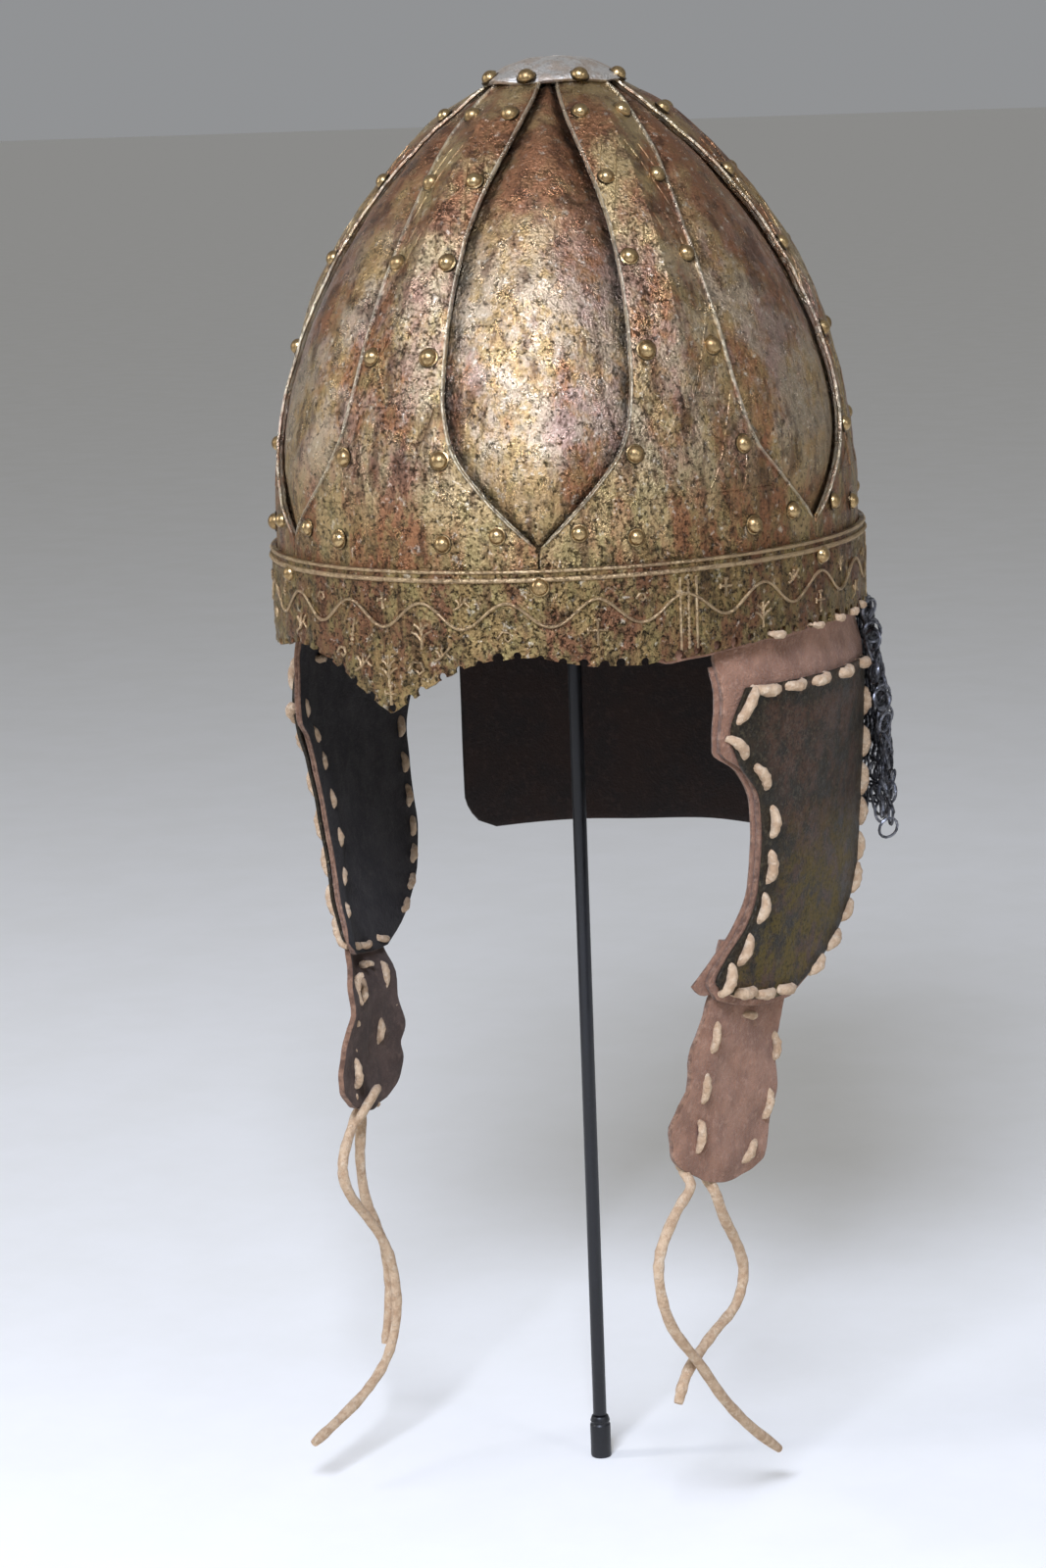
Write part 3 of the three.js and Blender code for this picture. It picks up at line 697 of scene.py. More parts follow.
# %% [markdown]
# Rivets hold all of it together. One cast head is made from a ball: the lower half is
# bisected away, the rest flattened to a dome, and its foot spread into a thin skirt that
# carries painted shade. It is then copied to each hole, every copy a little off true as set by hand.
# %% Rivet head
RIVET_RADIUS, RIVET_HEIGHT = 2.85, 2.5
SPANGE_RIVETS = [
    (11.6, 156), (8.6, 126), (7.5, 95), (7.4, 62.5), (11.4, 29), (12, 2), (22.6, 4.5),
]
pick(camera)
bpy.ops.mesh.primitive_uv_sphere_add(segments=16, ring_count=10, radius=RIVET_RADIUS * MM)
rivet_head = bpy.context.object
bpy.ops.object.mode_set(mode="EDIT")
bpy.ops.mesh.select_all(action="SELECT")
bpy.ops.mesh.bisect(
    plane_co=(0, 0, 0.0002), plane_no=(0, 0, 1), clear_inner=True, use_fill=False)
bpy.ops.mesh.select_all(action="DESELECT")
bpy.ops.mesh.select_non_manifold(extend=False)
bpy.ops.mesh.extrude_edges_move()
bpy.ops.transform.resize(value=(1.2, 1.2, 1))
bpy.ops.transform.translate(value=(0, 0, -0.0002))
bpy.ops.mesh.extrude_edges_move()
bpy.ops.transform.translate(value=(0, 0, -0.0009))
bpy.ops.mesh.edge_face_add()
bpy.ops.mesh.select_all(action="SELECT")
bpy.ops.transform.resize(value=(1, 1, RIVET_HEIGHT / RIVET_RADIUS), center_override=(0, 0, 0))
bpy.ops.object.mode_set(mode="OBJECT")
# Painted shade: the skirt at the foot is marked to be painted near black.
mark_edges(rivet_head, [
    1 - smooth_step(math.hypot(v.co.x, v.co.y) / MM, RIVET_RADIUS * 1.12, RIVET_RADIUS)
    if v.co.z < 0.0003 else 0 for v in rivet_head.data.vertices])
smooth(rivet_head, 50)
print("one rivet head, faces:", len(rivet_head.data.polygons))

# %% Rivets on the crown, the disc and the band
rivet_random = random.Random(11)


def copy_onto(pattern, foot, outward, size=1.0, spin=0.0):
    """A copy of a pattern stood on a foot point along its outward direction."""
    made = pattern.copy()
    made.data = pattern.data.copy()
    bpy.context.collection.objects.link(made)
    stand = outward.to_track_quat("Z", "Y").to_matrix().to_4x4()
    turn = Matrix.Rotation(spin, 4, "Z")
    made.data.transform(Matrix.Translation(foot) @ stand @ turn @ Matrix.Scale(size, 4))
    return made


def set_rivet(foot, outward):
    tilt = Vector([rivet_random.uniform(-0.07, 0.07) for _ in range(3)])
    size = rivet_random.uniform(0.93, 1.06)
    return copy_onto(rivet_head, foot, outward + tilt, size)


def crown_rivet(turn, rise, lift):
    turn += rivet_random.uniform(-0.3, 0.3)
    foot = crown_point(turn, rise, lift)
    return set_rivet(foot, (crown_point(turn, rise, lift + 1) - foot).normalized())


rivets = []
for middle_turn in range(0, 360, 60):
    for rivet_turn, rivet_rise in SPANGE_RIVETS:
        keel_share = 1 - rivet_turn / (30 - along(PANEL_OUTLINE, rivet_rise))
        lift = along(KEEL, rivet_rise) * keel_share + 0.25
        rivets.append(crown_rivet(middle_turn - rivet_turn, rivet_rise, lift))
        rivets.append(crown_rivet(middle_turn + rivet_turn, rivet_rise, lift))
    seam = wall_point(middle_turn + 30, RIM_Z + BAND_HEIGHT - 5.6, 0.2)
    rivets.append(set_rivet(seam, Vector((seam.x, seam.y, 0)).normalized()))
for k in range(8):
    rivets.append(crown_rivet(12 + 45 * k, 174.5, 2.4))
rivet_count = len(rivets)
bpy.data.objects.remove(rivet_head)
place_piece(join("rivets", rivets), [RIVET_METAL])
print("rivets set:", rivet_count)

# %% [markdown]
# The disc at the top is a low dome of paler metal, beaten thin, so its rim is uneven. A
# lathe would leave it too true: instead a grid is closed into a ring, its rows follow
# the dome's profile inwards, and the outer rows take a wavy offset.
# %% Apex disc
DISC_PROFILE = [
    (0, 24.6, 158.7), (0.12, 23.6, 160), (0.28, 20.5, 162), (0.5, 15.5, 164.7),
    (0.75, 9, 166.6), (1, 0, 167.2),
]


def disc_place(across, up):
    reach = along([(at, r) for at, r, _ in DISC_PROFILE], up)
    z = along([(at, z) for at, _, z in DISC_PROFILE], up)
    turn = math.radians(360 * across)
    ground = Vector((math.sin(turn), -math.cos(turn), 0)) * 0.02
    rim = 1 - smooth_step(up, 0, 0.35)
    reach += rim * hammered(ground, 1.6, 9)
    z += rim * hammered(ground + Vector((0, 0, 0.1)), 1.5, 10) + hammered(ground * up, 0.5, 5)
    x = reach * CROWN_WIDE * math.sin(turn)
    y = -reach * CROWN_LONG * math.cos(turn)
    return Vector((x, y, SPRING_Z - 10 + z)) * MM


disc = beaten_sheet("apex_disc_dome", 96, 22, disc_place, closed=True)
thicken(disc, 1.5)
round_edges(disc, 0.35)
finish_piece(disc, 40, [DISC_METAL], ["apex_disc"])

# %% [markdown]
# The brow band is one strip of thin embossed copper round the whole helmet, cut out over
# the eyes and drawn down to a point between them. Its ring is a closed grid whose lower
# row follows the cut. A row of lacing holes was punched too near that edge, and many
# tore open: cutters stood along the edge take real holes and notches out of the wall.
# %% Brow band
BAND_TOP = RIM_Z + BAND_HEIGHT
HOLE_PITCH = 3.7
TORN_FROM, TORN_TO = 3, 52


def brow_edge(turn):
    """Height of the band's lower edge, worn and torn a little, in mm."""
    ragged = 0.55 * noise.noise(Vector((turn / 3.1, 0, 7))) + 0.35 * noise.noise(Vector((turn, 3, 1)))
    return RIM_Z - along(BROW, from_front(turn)) + ragged


def band_place(across, up):
    turn = 360 * across
    foot = brow_edge(turn)
    z = foot + up * (BAND_TOP - foot)
    ground = wall_point(turn, z)
    worn = 1 - smooth_step(up, 0.75, 0.95)
    lift = (hammered(ground, 0.5, 9) + hammered(ground, 0.55, 3.2)) * worn
    return wall_point(turn, z, lift)


def lacing_cutter(turn, above, radius):
    z = RIM_Z - along(BROW, from_front(turn)) + above
    middle = wall_point(turn, z, -0.5)
    pick(camera)
    bpy.ops.mesh.primitive_cylinder_add(
        vertices=12, radius=radius * MM, depth=0.008, location=middle,
        rotation=(math.radians(90), 0, math.radians(turn)))
    return bpy.context.object


band = beaten_sheet("brow_band_ring", 450, 26, band_place, closed=True)
thicken(band, BAND_SHEET)
apply_modifiers(band)
hole_random = random.Random(5)
cutters = []
for k in range(round(360 / HOLE_PITCH)):
    hole_turn = k * HOLE_PITCH + hole_random.uniform(-0.5, 0.5)
    torn = TORN_FROM < from_front(hole_turn) < TORN_TO
    hole_height = hole_random.uniform(-0.3, 0.9) if torn else hole_random.uniform(1.2, 2.2)
    cutters.append(lacing_cutter(hole_turn, hole_height, hole_random.uniform(1.3, 2.0)))
cutter = join("lacing_cutters", cutters)
pick(cutter)
bpy.ops.object.transform_apply(location=True, rotation=True, scale=True)
cut = band.modifiers.new("holes", "BOOLEAN")
cut.operation = "DIFFERENCE"
cut.solver = "EXACT"
cut.object = cutter
finish_piece(band, 40, [BAND_METAL], ["brow_band"])
bpy.data.objects.remove(cutter)

# %% [markdown]
# The band's ornament was pressed from behind: a plain line on the rim, a rope below it,
# a vine that winds through the field, upright dividers, and sprigs, crosses and grapes in
# the vine's bends. Each is a low line of metal, so each is swept as a thin tube half sunk
# in the band. A rope is a tube whose radius swells and thins every millimetre.
# %% Ornament lines on the band
VINE_Z, VINE_SWING, VINE_PERIOD, VINE_START = 334.6, 4.2, 16.364, 3.3
DIVIDERS = [57, 123, 180, 237, 303]
STEP, ROPE_STEP = 0.75, 0.27


def wall_line(name, turns_and_heights, diameter, lift=0.1, radii=None, cyclic=False):
    points = [wall_point(turn, z, lift) for turn, z in turns_and_heights]
    return swept(name, points, diameter, radii, sides=1, cyclic=cyclic, smooth_path=False)


def vine_height(turn):
    wander = 0.9 * noise.noise(Vector((turn / 9, 5, 2)))
    return VINE_Z + (VINE_SWING + wander) * math.sin(math.tau * (turn - VINE_START) / VINE_PERIOD)


lines = []
whole_turn = [k * STEP for k in range(round(360 / STEP))]
rim_line = [(turn, BAND_TOP - 0.6) for turn in whole_turn]
lines.append(wall_line("rim_line", rim_line, 1.2, 0.05, cyclic=True))
rope_turns = [k * ROPE_STEP for k in range(round(360 / ROPE_STEP))]
rope_line = [(turn, BAND_TOP - 3.3) for turn in rope_turns]
rope_radii = [
    1 if k % 2 else 0.8 - 0.1 * noise.noise(Vector((k / 30, 0, 0)))
    for k in range(len(rope_turns))]
lines.append(wall_line("rope", rope_line, 1.9, 0.1, rope_radii, cyclic=True))
vine_line = [(turn, vine_height(turn)) for turn in whole_turn]
lines.append(wall_line("vine", vine_line, 1.15, 0.25, cyclic=True))
for divider in DIVIDERS:
    for side_step in (-1.6, 1.6):
        upright = [(divider + side_step, z) for z in range(RIM_Z, RIM_Z + 25, 3)]
        lines.append(wall_line("divider", upright, 1, 0.15))
    beads = [(divider, RIM_Z + k * 0.7) for k in range(34)]
    bead_radii = [1 if k % 2 else 0.45 for k in range(34)]
    lines.append(wall_line("divider_beads", beads, 1.5, 0.1, bead_radii))
print("long ornament lines:", len(lines))

# %% Sprigs, crosses and grapes in the vine's bends
# Each motif is a few strokes, as points of (mm across, mm up) from the middle of a bend.
MOTIFS = {
    "tree": [
        [(0, -4), (0.2, 0), (0, 4)], [(0, -1.5), (-1.6, 0.3), (-3.3, 1)],
        [(0, -1), (1.7, 0.6), (3.4, 1.4)], [(0.1, 1), (-1.2, 2.6), (-2.4, 3.2)],
        [(0.1, 1.4), (1.3, 2.8), (2.6, 3.6)],
    ],
    "cross": [[(0, -4), (0, 4)], [(-3, 0.9), (3, 0.7)], [(-1, 4), (1, 4)], [(-3, 1.9), (-3, -0.2)]],
    "sprig": [
        [(-4, -3), (-1, -1.6), (1.4, 0.7), (3.6, 3)], [(-1, -1.6), (-1.6, 0.4), (-3, 1.6)],
        [(1.4, 0.7), (2.6, -0.6), (4, -1.2)], [(0, -0.4), (-0.4, 1.6), (0.3, 3)],
    ],
    "tendril": [[(-3.4, -1), (-1.5, 1.4), (1, 1.2), (1.8, -0.8), (0.4, -1.9), (-0.7, -0.9)]],
}
motif_random = random.Random(23)


def stroke(turn, z, shape, size):
    reach = (BAND_WIDE + BAND_LONG) / 2
    spots = [(turn + math.degrees(x * size / reach), z + y * size) for x, y in shape]
    return wall_line("stroke", spots, motif_random.uniform(0.8, 1.15), 0.12)


def grapes(turn, z, size):
    line = [(turn + 0.1 * k, z - 4 * size + k * 0.75 * size) for k in range(12)]
    radii = [0.4 if k % 2 else 1.05 - 0.04 * k for k in range(12)]
    return wall_line("grapes", line, 2.1, 0, radii)


kinds = ["tree", "tendril", "cross", "sprig", "grapes"]
bends = round(360 / VINE_PERIOD * 2)
for k in range(bends):
    bend_turn = VINE_START + VINE_PERIOD * (k + 0.5) / 2
    is_crest = k % 2 == 0
    if min(abs((bend_turn - d + 180) % 360 - 180) for d in DIVIDERS) < 4:
        continue
    bend_z = VINE_Z - 6.6 if is_crest else VINE_Z + 4.3
    size = motif_random.uniform(0.85, 1.15) * (1 if is_crest else 0.72)
    kind = kinds[(k * 3 + k // 5) % 5]
    if kind == "grapes":
        lines.append(grapes(bend_turn, bend_z, size))
    else:
        lines += [stroke(bend_turn, bend_z, shape, size) for shape in MOTIFS[kind]]
for nasal_turn, nasal_z, kind, size in [
    (0, 315.5, "tree", 1.15), (-6, 318, "sprig", 1.0), (6.5, 317.5, "tendril", 1.2),
    (0.3, 307.5, "cross", 0.8), (11.5, 322, "sprig", 0.8), (-11.5, 321, "tendril", 0.9),
]:
    lines += [stroke(nasal_turn, nasal_z, shape, size) for shape in MOTIFS[kind]]
ornament = join("band_ornament", to_mesh(*lines))
mark_edges(ornament, [1.0] * len(ornament.data.vertices))
finish_piece(ornament, 60, [BAND_METAL])

# %% [markdown]
# The spangen carry faint punched lines: level lines at a few heights, and crossed lines
# between them. They are worn to a hair, so they are swept thin and sunk past half.
# %% Punched lines on the spangen
LEVEL_RISES = [14, 46, 78, 110, 140]
NEAR_KEEL, HALF_WAY, NEAR_EDGE = 0.1, 0.46, 0.82


def spange_line(middle, side, start, end, steps=7):
    """A line from one (share of the half width, rise) to another, on one side of a keel."""
    (share_a, rise_a), (share_b, rise_b) = start, end
    points = []
    for k in range(steps + 1):
        share = side * (share_a + (share_b - share_a) * k / steps)
        rise = rise_a + (rise_b - rise_a) * k / steps
        turn = middle + share * (30 - along(PANEL_OUTLINE, rise))
        ground = crown_point(turn, rise)
        lift = along(KEEL, rise) * (1 - abs(share)) + hammered(ground, 0.45, 11)
        points.append(crown_point(turn, rise, lift + hammered(ground, 0.22, 4)))
    return swept("punched", points, 0.45, None, sides=0, smooth_path=False)


punched = []
for middle_turn in range(0, 360, 60):
    for side in (-1, 1):
        for low, high in zip(LEVEL_RISES, LEVEL_RISES[1:]):
            point_out = (NEAR_EDGE, (low + high) / 2)
            for start, end in [
                ((NEAR_KEEL, low), (NEAR_EDGE, low)), ((NEAR_KEEL, low), (NEAR_EDGE, high)),
                ((NEAR_EDGE, low), (NEAR_KEEL, high)), ((HALF_WAY, low), point_out),
                (point_out, (HALF_WAY, high)),
            ]:
                punched.append(spange_line(middle_turn, side, start, end))
punched_lines = join("punched_lines", to_mesh(*punched))
finish_piece(punched_lines, 60, [SPANGE_METAL])

# %% [markdown]
# A suede strip lines the band. It peeks out a millimetre below the band's edge at the
# sides and the back, and ends higher over the eyes, where the torn holes look through to
# the dark. Its grid ring follows the same cut, with an edge that a knife left a little
# wavy. Leather pieces share one set of finishes: suede outside, a flesh side inside painted
# near black as painted shade, and a raw edge where cut.
# %% Lining
LEATHER_SIDES = [SUEDE, SHADED_FLESH_SIDE, CUT_EDGE]


def leather_wall(obj, millimetres, finishes=LEATHER_SIDES):
    thicken(obj, millimetres)
    obj.modifiers["wall"].material_offset = 1
    obj.modifiers["wall"].material_offset_rim = 2
    for finish in finishes:
        obj.data.materials.append(finish)
    round_edges(obj, 0.35)
    apply_modifiers(obj)
    smooth(obj, 50)


LINING_TOP, HIDDEN_BEHIND_BROW = 335, 5


def lining_place(across, up):
    turn = 360 * across
    behind = HIDDEN_BEHIND_BROW * (1 - smooth_step(from_front(turn), 46, 54))
    edge = RIM_Z - along(BROW, from_front(turn)) + behind - 1.2
    edge += 1.2 * noise.noise(Vector((turn / 7, 1, 4)))
    z = edge + up * (LINING_TOP - edge)
    return wall_point(turn, z, -LINING_LEATHER + hammered(wall_point(turn, z), 0.2, 9))


lining = beaten_sheet("lining_strip", 300, 6, lining_place, closed=True)
leather_wall(lining, LINING_LEATHER)
place_piece(lining, LEATHER_SIDES, ["lining_band"])

# %% [markdown]
# A cheek flap is one piece of soft leather that hangs from the lining, bowed round the
# cheek and narrowing to the chin. Its outline is a table of rows: where the front edge
# and the back edge lie, as distance along the helmet and depth below the rim.
# %% Cheek leathers
FLAP_ROWS = [
    (-48, -10, 58, -10), (-49, 4, 60, 4), (-48.5, 12, 61, 12), (-48.5, 21, 61, 21),
    (-49, 30, 61, 30), (-48.5, 37, 61, 40), (-37, 45, 61, 52), (-28.5, 58, 61, 64),
    (-26, 73, 61, 78), (-26, 88, 61, 94), (-32, 100, 54, 108), (-41, 109, 40, 118),
    (-49, 117, 21, 127), (-44, 124, 1, 133),
]

STRAP_ROWS = [
    (-40, 104, 2, 112), (-42, 119, 2, 128), (-48, 132, 0, 139), (-53, 145, -3, 151),
    (-56, 157, -1, 163), (-61, 168, -4, 173), (-60, 176, -5, 182), (-54, 184, -9, 189),
    (-46, 188, -18, 192),
]
RIGHT_STRAP_ROWS = [(-42, 121, 1, 130.5), (-44, 127, 0, 134), *STRAP_ROWS[2:]]
STRAP_LIFT, STRAP_TUCK = -(LEATHER + FLAP_GAP), 5.2


def belly(side, depth):
    """How far forward the right flap's front edge bulges at a depth."""
    share = min(max((depth - 20) / 80, 0), 1)
    return RIGHT_BELLY * math.sin(math.pi * share) if side < 0 else 0


def hanging_place(side, rows, across, down, ripple=0.0):
    """(mm along the helmet, depth) in a hanging sheet, from two shares of its outline."""
    last = len(rows) - 1
    front, front_depth, back, back_depth = (
        along([(i, row[k]) for i, row in enumerate(rows)], down * last) for k in range(4))
    if side < 0 and back > 0:
        back *= RIGHT_BACK
    front -= belly(side, front_depth)
    wave = ripple * noise.noise(Vector((down * 6, side * 3, across * 1.5)))
    y = front + (back - front) * across + wave * (2 * across - 1)
    lowest = smooth_step(down * last, last - 1, last)
    sag = 2.5 * 4 * across * (1 - across) * lowest
    depth = front_depth + (back_depth - front_depth) * across + sag
    if side < 0:
        depth -= RIGHT_STRAP_CUT * smooth_step(depth, 150, 190)
    return y, depth


def tuck(depth):
    """How far out a tucked strap's top stands, to start at its flap's lower edge."""
    return STRAP_TUCK * (1 - smooth_step(depth, 132, 146))


def hanging_sheet(name, side, rows, across, down, lift, crease, ripple, tucked=False):
    """A sheet of the leather's shape, with creases and a rippled outline, both in mm."""
    def place(u, v):
        share = u if side > 0 else 1 - u
        y, depth = hanging_place(side, rows, share, 1 - v, ripple)
        ground = flap_point(side, y, depth)
        uneven = hammered(ground, crease, 16) + hammered(ground, crease * 0.4, 6)
        uneven *= smooth_step(depth, 0, 25)
        return flap_point(side, y, depth, lift + uneven + (tuck(depth) if tucked else 0))

    return beaten_sheet(name, across, down, place)


for side, name, flat, cut_area in [
    (1, "left", (0.125, 0.15), 0.0138), (-1, "right", (0.110, 0.15), 0.0119),
]:
    flap = hanging_sheet(f"cheek_flap_{name}", side, FLAP_ROWS, 30, 44, 0, 0.5, 0.8)
    leather_wall(flap, LEATHER)
    place_piece(flap, LEATHER_SIDES, [f"cheek_leather_{name}"])

# %% [markdown]
# Each flap's front edge is doubled by a narrow second ply behind it, which shows as a
# line beside the edge and flares out to a free corner near the chin.
# %% Second ply
PLY_ROWS = [
    (-49.6, 8, -40, 8), (-49.4, 21, -40, 21), (-50, 30, -40, 31), (-49.6, 37, -38, 41),
    (-38.6, 45, -29, 50), (-30.2, 58, -21, 62), (-27.6, 73, -18, 76), (-27.8, 88, -19, 92),
    (-34.2, 100, -25, 106), (-44, 109, -34, 116), (-54, 117.5, -43, 121),
]
PLY_LEATHER, PLY_LIFT = 0.9, -2.05
for side, name, cut_area in [(1, "left", 0.00125), (-1, "right", 0.00172)]:
    ply = hanging_sheet(f"flap_ply_{name}", side, PLY_ROWS, 5, 50, PLY_LIFT, 0.3, 0.5)
    leather_wall(ply, PLY_LEATHER)
    place_piece(ply, LEATHER_SIDES)

# %% [markdown]
# On each flap sits a thin bronze plate of nearly the same outline. Its edges were never
# polished, which the same edge value as on the crown's plates tells its finish.
# %% Cheek plates
CHEEK_ROWS = [
    (-40, 16, 50, 19), (-46, 30, 53, 33), (-41.5, 42, 54, 47), (-30, 56, 55, 61),
    (-26.5, 73, 55.5, 77), (-26.5, 88, 55, 93), (-32, 100, 49, 106), (-41, 109, 35, 117),
    (-47, 117, 18, 125), (-41, 122, 0, 130.5),
]
ON_PLATE = FLAP_GAP + CHEEK_SHEET
CHEEK_ACROSS, CHEEK_DOWN = 28, 44


def cheek_edge(corner):
    """One at the front and back edges of a plate, nothing six columns further in."""
    column = corner % (CHEEK_ACROSS + 1)
    return 1 - smooth_step(min(column, CHEEK_ACROSS - column), 1, 6)


for side, name in [(1, "left"), (-1, "right")]:
    plate = hanging_sheet(
        f"cheek_sheet_{name}", side, CHEEK_ROWS, CHEEK_ACROSS, CHEEK_DOWN, ON_PLATE, 0.35, 0.5)
    mark_edges(plate, [cheek_edge(corner) for corner in range(len(plate.data.vertices))])
    thicken(plate, CHEEK_SHEET)
    round_edges(plate, 0.4)
    finish_piece(plate, 40, [CHEEK_METAL], [f"cheek_plate_{name}"])

# %% [markdown]
# The chin straps are short leathers sewn to the flaps' lower ends: the left one behind its
# flap, the right one tucked out under its flap's edge. The stitches pull their edges into
# waves, so the outline is given more swing than the flaps have.
# %% Chin straps
# The straps' inside is the same flesh side, painted lighter as painted light where it is lit.
STRAP_SIDES = [SUEDE, LIT_FLESH_SIDE, CUT_EDGE]
for side, name, long, cut_area in [(1, "left", 0.090, 0.0042), (-1, "right", 0.072, 0.0031)]:
    strap_rows = STRAP_ROWS if side > 0 else RIGHT_STRAP_ROWS
    strap = hanging_sheet(
        f"chin_leather_{name}", side, strap_rows, 20, 40, STRAP_LIFT, 1.7, 3, side < 0)
    leather_wall(strap, LEATHER, STRAP_SIDES)
    place_piece(strap, STRAP_SIDES, [f"chin_strap_{name}"])

# %% [markdown]
# Pale thong laces every plate to its leather in a running stitch. A stitch is a short
# fat crescent: its ends dive into their holes, its middle stands up and bows sideways.
# Each is swept along seven points and thinned at both ends.
# %% Stitches
stitch_random = random.Random(31)
STITCH_WIDTH = 3.9


def stitch(side, middle, direction, length, lift, bow, width=STITCH_WIDTH, facing=1):
    """A crescent on a flap; middle is (mm along, depth), facing is -1 on an inner face."""
    angle = direction + stitch_random.uniform(-0.12, 0.12)
    length *= stitch_random.uniform(0.92, 1.08)
    along_y, along_depth = math.cos(angle), math.sin(angle)
    points = []
    for share, rise, size in [(-0.5, -1.8, 0), (-0.47, -0.2, 0), (-0.28, 0.9, 0.7), (0, 1.25, 1),
                              (0.28, 0.9, 0.7), (0.47, -0.2, 0), (0.5, -1.8, 0)]:
        y = middle[0] + share * length * along_y - bow * size * along_depth
        depth = middle[1] + share * length * along_depth + bow * size * along_y
        points.append(flap_point(side, y, depth, lift + rise * facing))
    radii = [0.6, 0.85, 1.02, 1.08, 1.02, 0.85, 0.6]
    return swept("stitch", points, width * stitch_random.uniform(0.92, 1.06), radii, sides=2)


def edge_at(rows, depth, is_front):
    column, depths = (0, 1) if is_front else (2, 3)
    return along([(row[depths], row[column]) for row in rows], depth)


def slope_at(rows, depth, is_front):
    step = edge_at(rows, depth + 2, is_front) - edge_at(rows, depth - 2, is_front)
    return math.atan2(4, step)


# Front stitches are (depth, mm in from the plate's edge, direction).
FRONT_STITCHES = [
    (22, 3.5, -0.85), (36, 1.6, 0.8), (48, 5.5, 1), (65, 4.5, 1.4), (81, 4, 1.55), (95, 3.5, 1.75),
    (108, 6.5, 1.95), (117, 5.5, 1.9),
]
BACK_DEPTHS = [36, 51, 65, 77, 90, 101, 111, 119, 125]
INNER_FRONT_DEPTHS = [34, 46, 57, 72, 87, 101, 111]
INNER_BACK_DEPTHS = [42, 57, 71, 84, 96, 106, 115, 122]
TOP_SHARES = [0.11, 0.27, 0.45, 0.68, 0.95]
BOTTOM_SHARES = [0.24, 0.53, 0.86]
INNER_WIDTH = 2.8


def plate_stitches(side):
    narrow = RIGHT_BACK if side < 0 else 1
    made = []
    for depth, inset, slope in FRONT_STITCHES:
        spot = (edge_at(CHEEK_ROWS, depth, True) + inset - belly(side, depth), depth)
        made.append(stitch(side, spot, slope, 14 if slope < 0 else 10.5, ON_PLATE, -0.5))
    for depth in INNER_FRONT_DEPTHS:
        spot = (edge_at(FLAP_ROWS, depth, True) + 8.5 - belly(side, depth), depth)
        slope = slope_at(FLAP_ROWS, depth, True)
        made.append(stitch(side, spot, slope, 7.5, -LEATHER, 0.5, INNER_WIDTH, -1))
    for depth in BACK_DEPTHS:
        spot = ((edge_at(CHEEK_ROWS, depth, False) + 0.2) * narrow, depth)
        made.append(stitch(side, spot, slope_at(CHEEK_ROWS, depth, False), 10, ON_PLATE - 0.6, -0.5))
    for depth in INNER_BACK_DEPTHS:
        spot = ((edge_at(FLAP_ROWS, depth, False) - 6) * narrow, depth)
        slope = slope_at(FLAP_ROWS, depth, False)
        made.append(stitch(side, spot, slope, 7.5, -LEATHER, 0.5, INNER_WIDTH, -1))
    for shares, down, shift in [(TOP_SHARES, 0, 1.4), (BOTTOM_SHARES, 1, -2.4)]:
        for share in shares:
            tilt = 0.05 if down == 0 else 0.2
            y, depth = hanging_place(side, CHEEK_ROWS, share, down)
            made.append(stitch(side, (y, depth + shift), tilt, 10.5, ON_PLATE, 0.5))
            y, depth = hanging_place(side, CHEEK_ROWS, share + 0.08, down)
            spot = (y, depth + shift + 1)
            made.append(stitch(side, spot, tilt, 7.5, -LEATHER, 0.4, INNER_WIDTH, -1))
    return made


# Strap stitches are (mm along, depth, direction).
STRAP_FACE, STRAP_LOOP = -2.6, -2.9
STRAP_FRONT = [(-41, 138, 1.75), (-46, 155, 1.75), (-48, 172, 1.75)]
STRAP_BACK = [(-4.5, 150, 1.5), (-8.5, 170, 1.7), (-20, 184.5, 2.6)]
STRAP_INNER = [(-34, 141, 2), (-9, 142, 1.9), (-48, 168, 1.75), (-19, 160, 1.9)]


def strap_stitches(side):
    made = [stitch(side, (-21, 134.5), 0.2, 8, STRAP_LOOP, 0.4, 2.8)]
    for y, depth, lean in STRAP_FRONT:
        made.append(stitch(side, (y, depth), lean, 10, STRAP_FACE, 0.6, 3.2))
    for y, depth, lean in STRAP_BACK:
        made.append(stitch(side, (y, depth), lean, 11, STRAP_FACE, -0.6, 3.2))
    for y, depth, lean in STRAP_INNER if side < 0 else []:
        lift = STRAP_LIFT - LEATHER + tuck(depth)
        made.append(stitch(side, (y, depth), lean, 10, lift, 0.5, 3, -1))
    return made


def rim_lacing(side):
    places = (-26, -3, 14, 29, 44)
    return [stitch(side, (y, -0.5), 0.15, 8, FLAP_INSET - 0.6, 0.4, 2.6) for y in places]


def roughened(obj, millimetres, size):
    for corner in obj.data.vertices:
        push = Vector([hammered(corner.co + Vector((k, 0, 0)), millimetres, size) for k in range(3)])
        corner.co += push * MM


for side, name in [(1, "left"), (-1, "right")]:
    crescents = plate_stitches(side) + strap_stitches(side) + rim_lacing(side)
    stitches = join(f"stitches_{name}", to_mesh(*crescents))
    roughened(stitches, 0.45, 1.8)
    face_outwards(stitches)
    finish_piece(stitches, 60, [RAWHIDE])

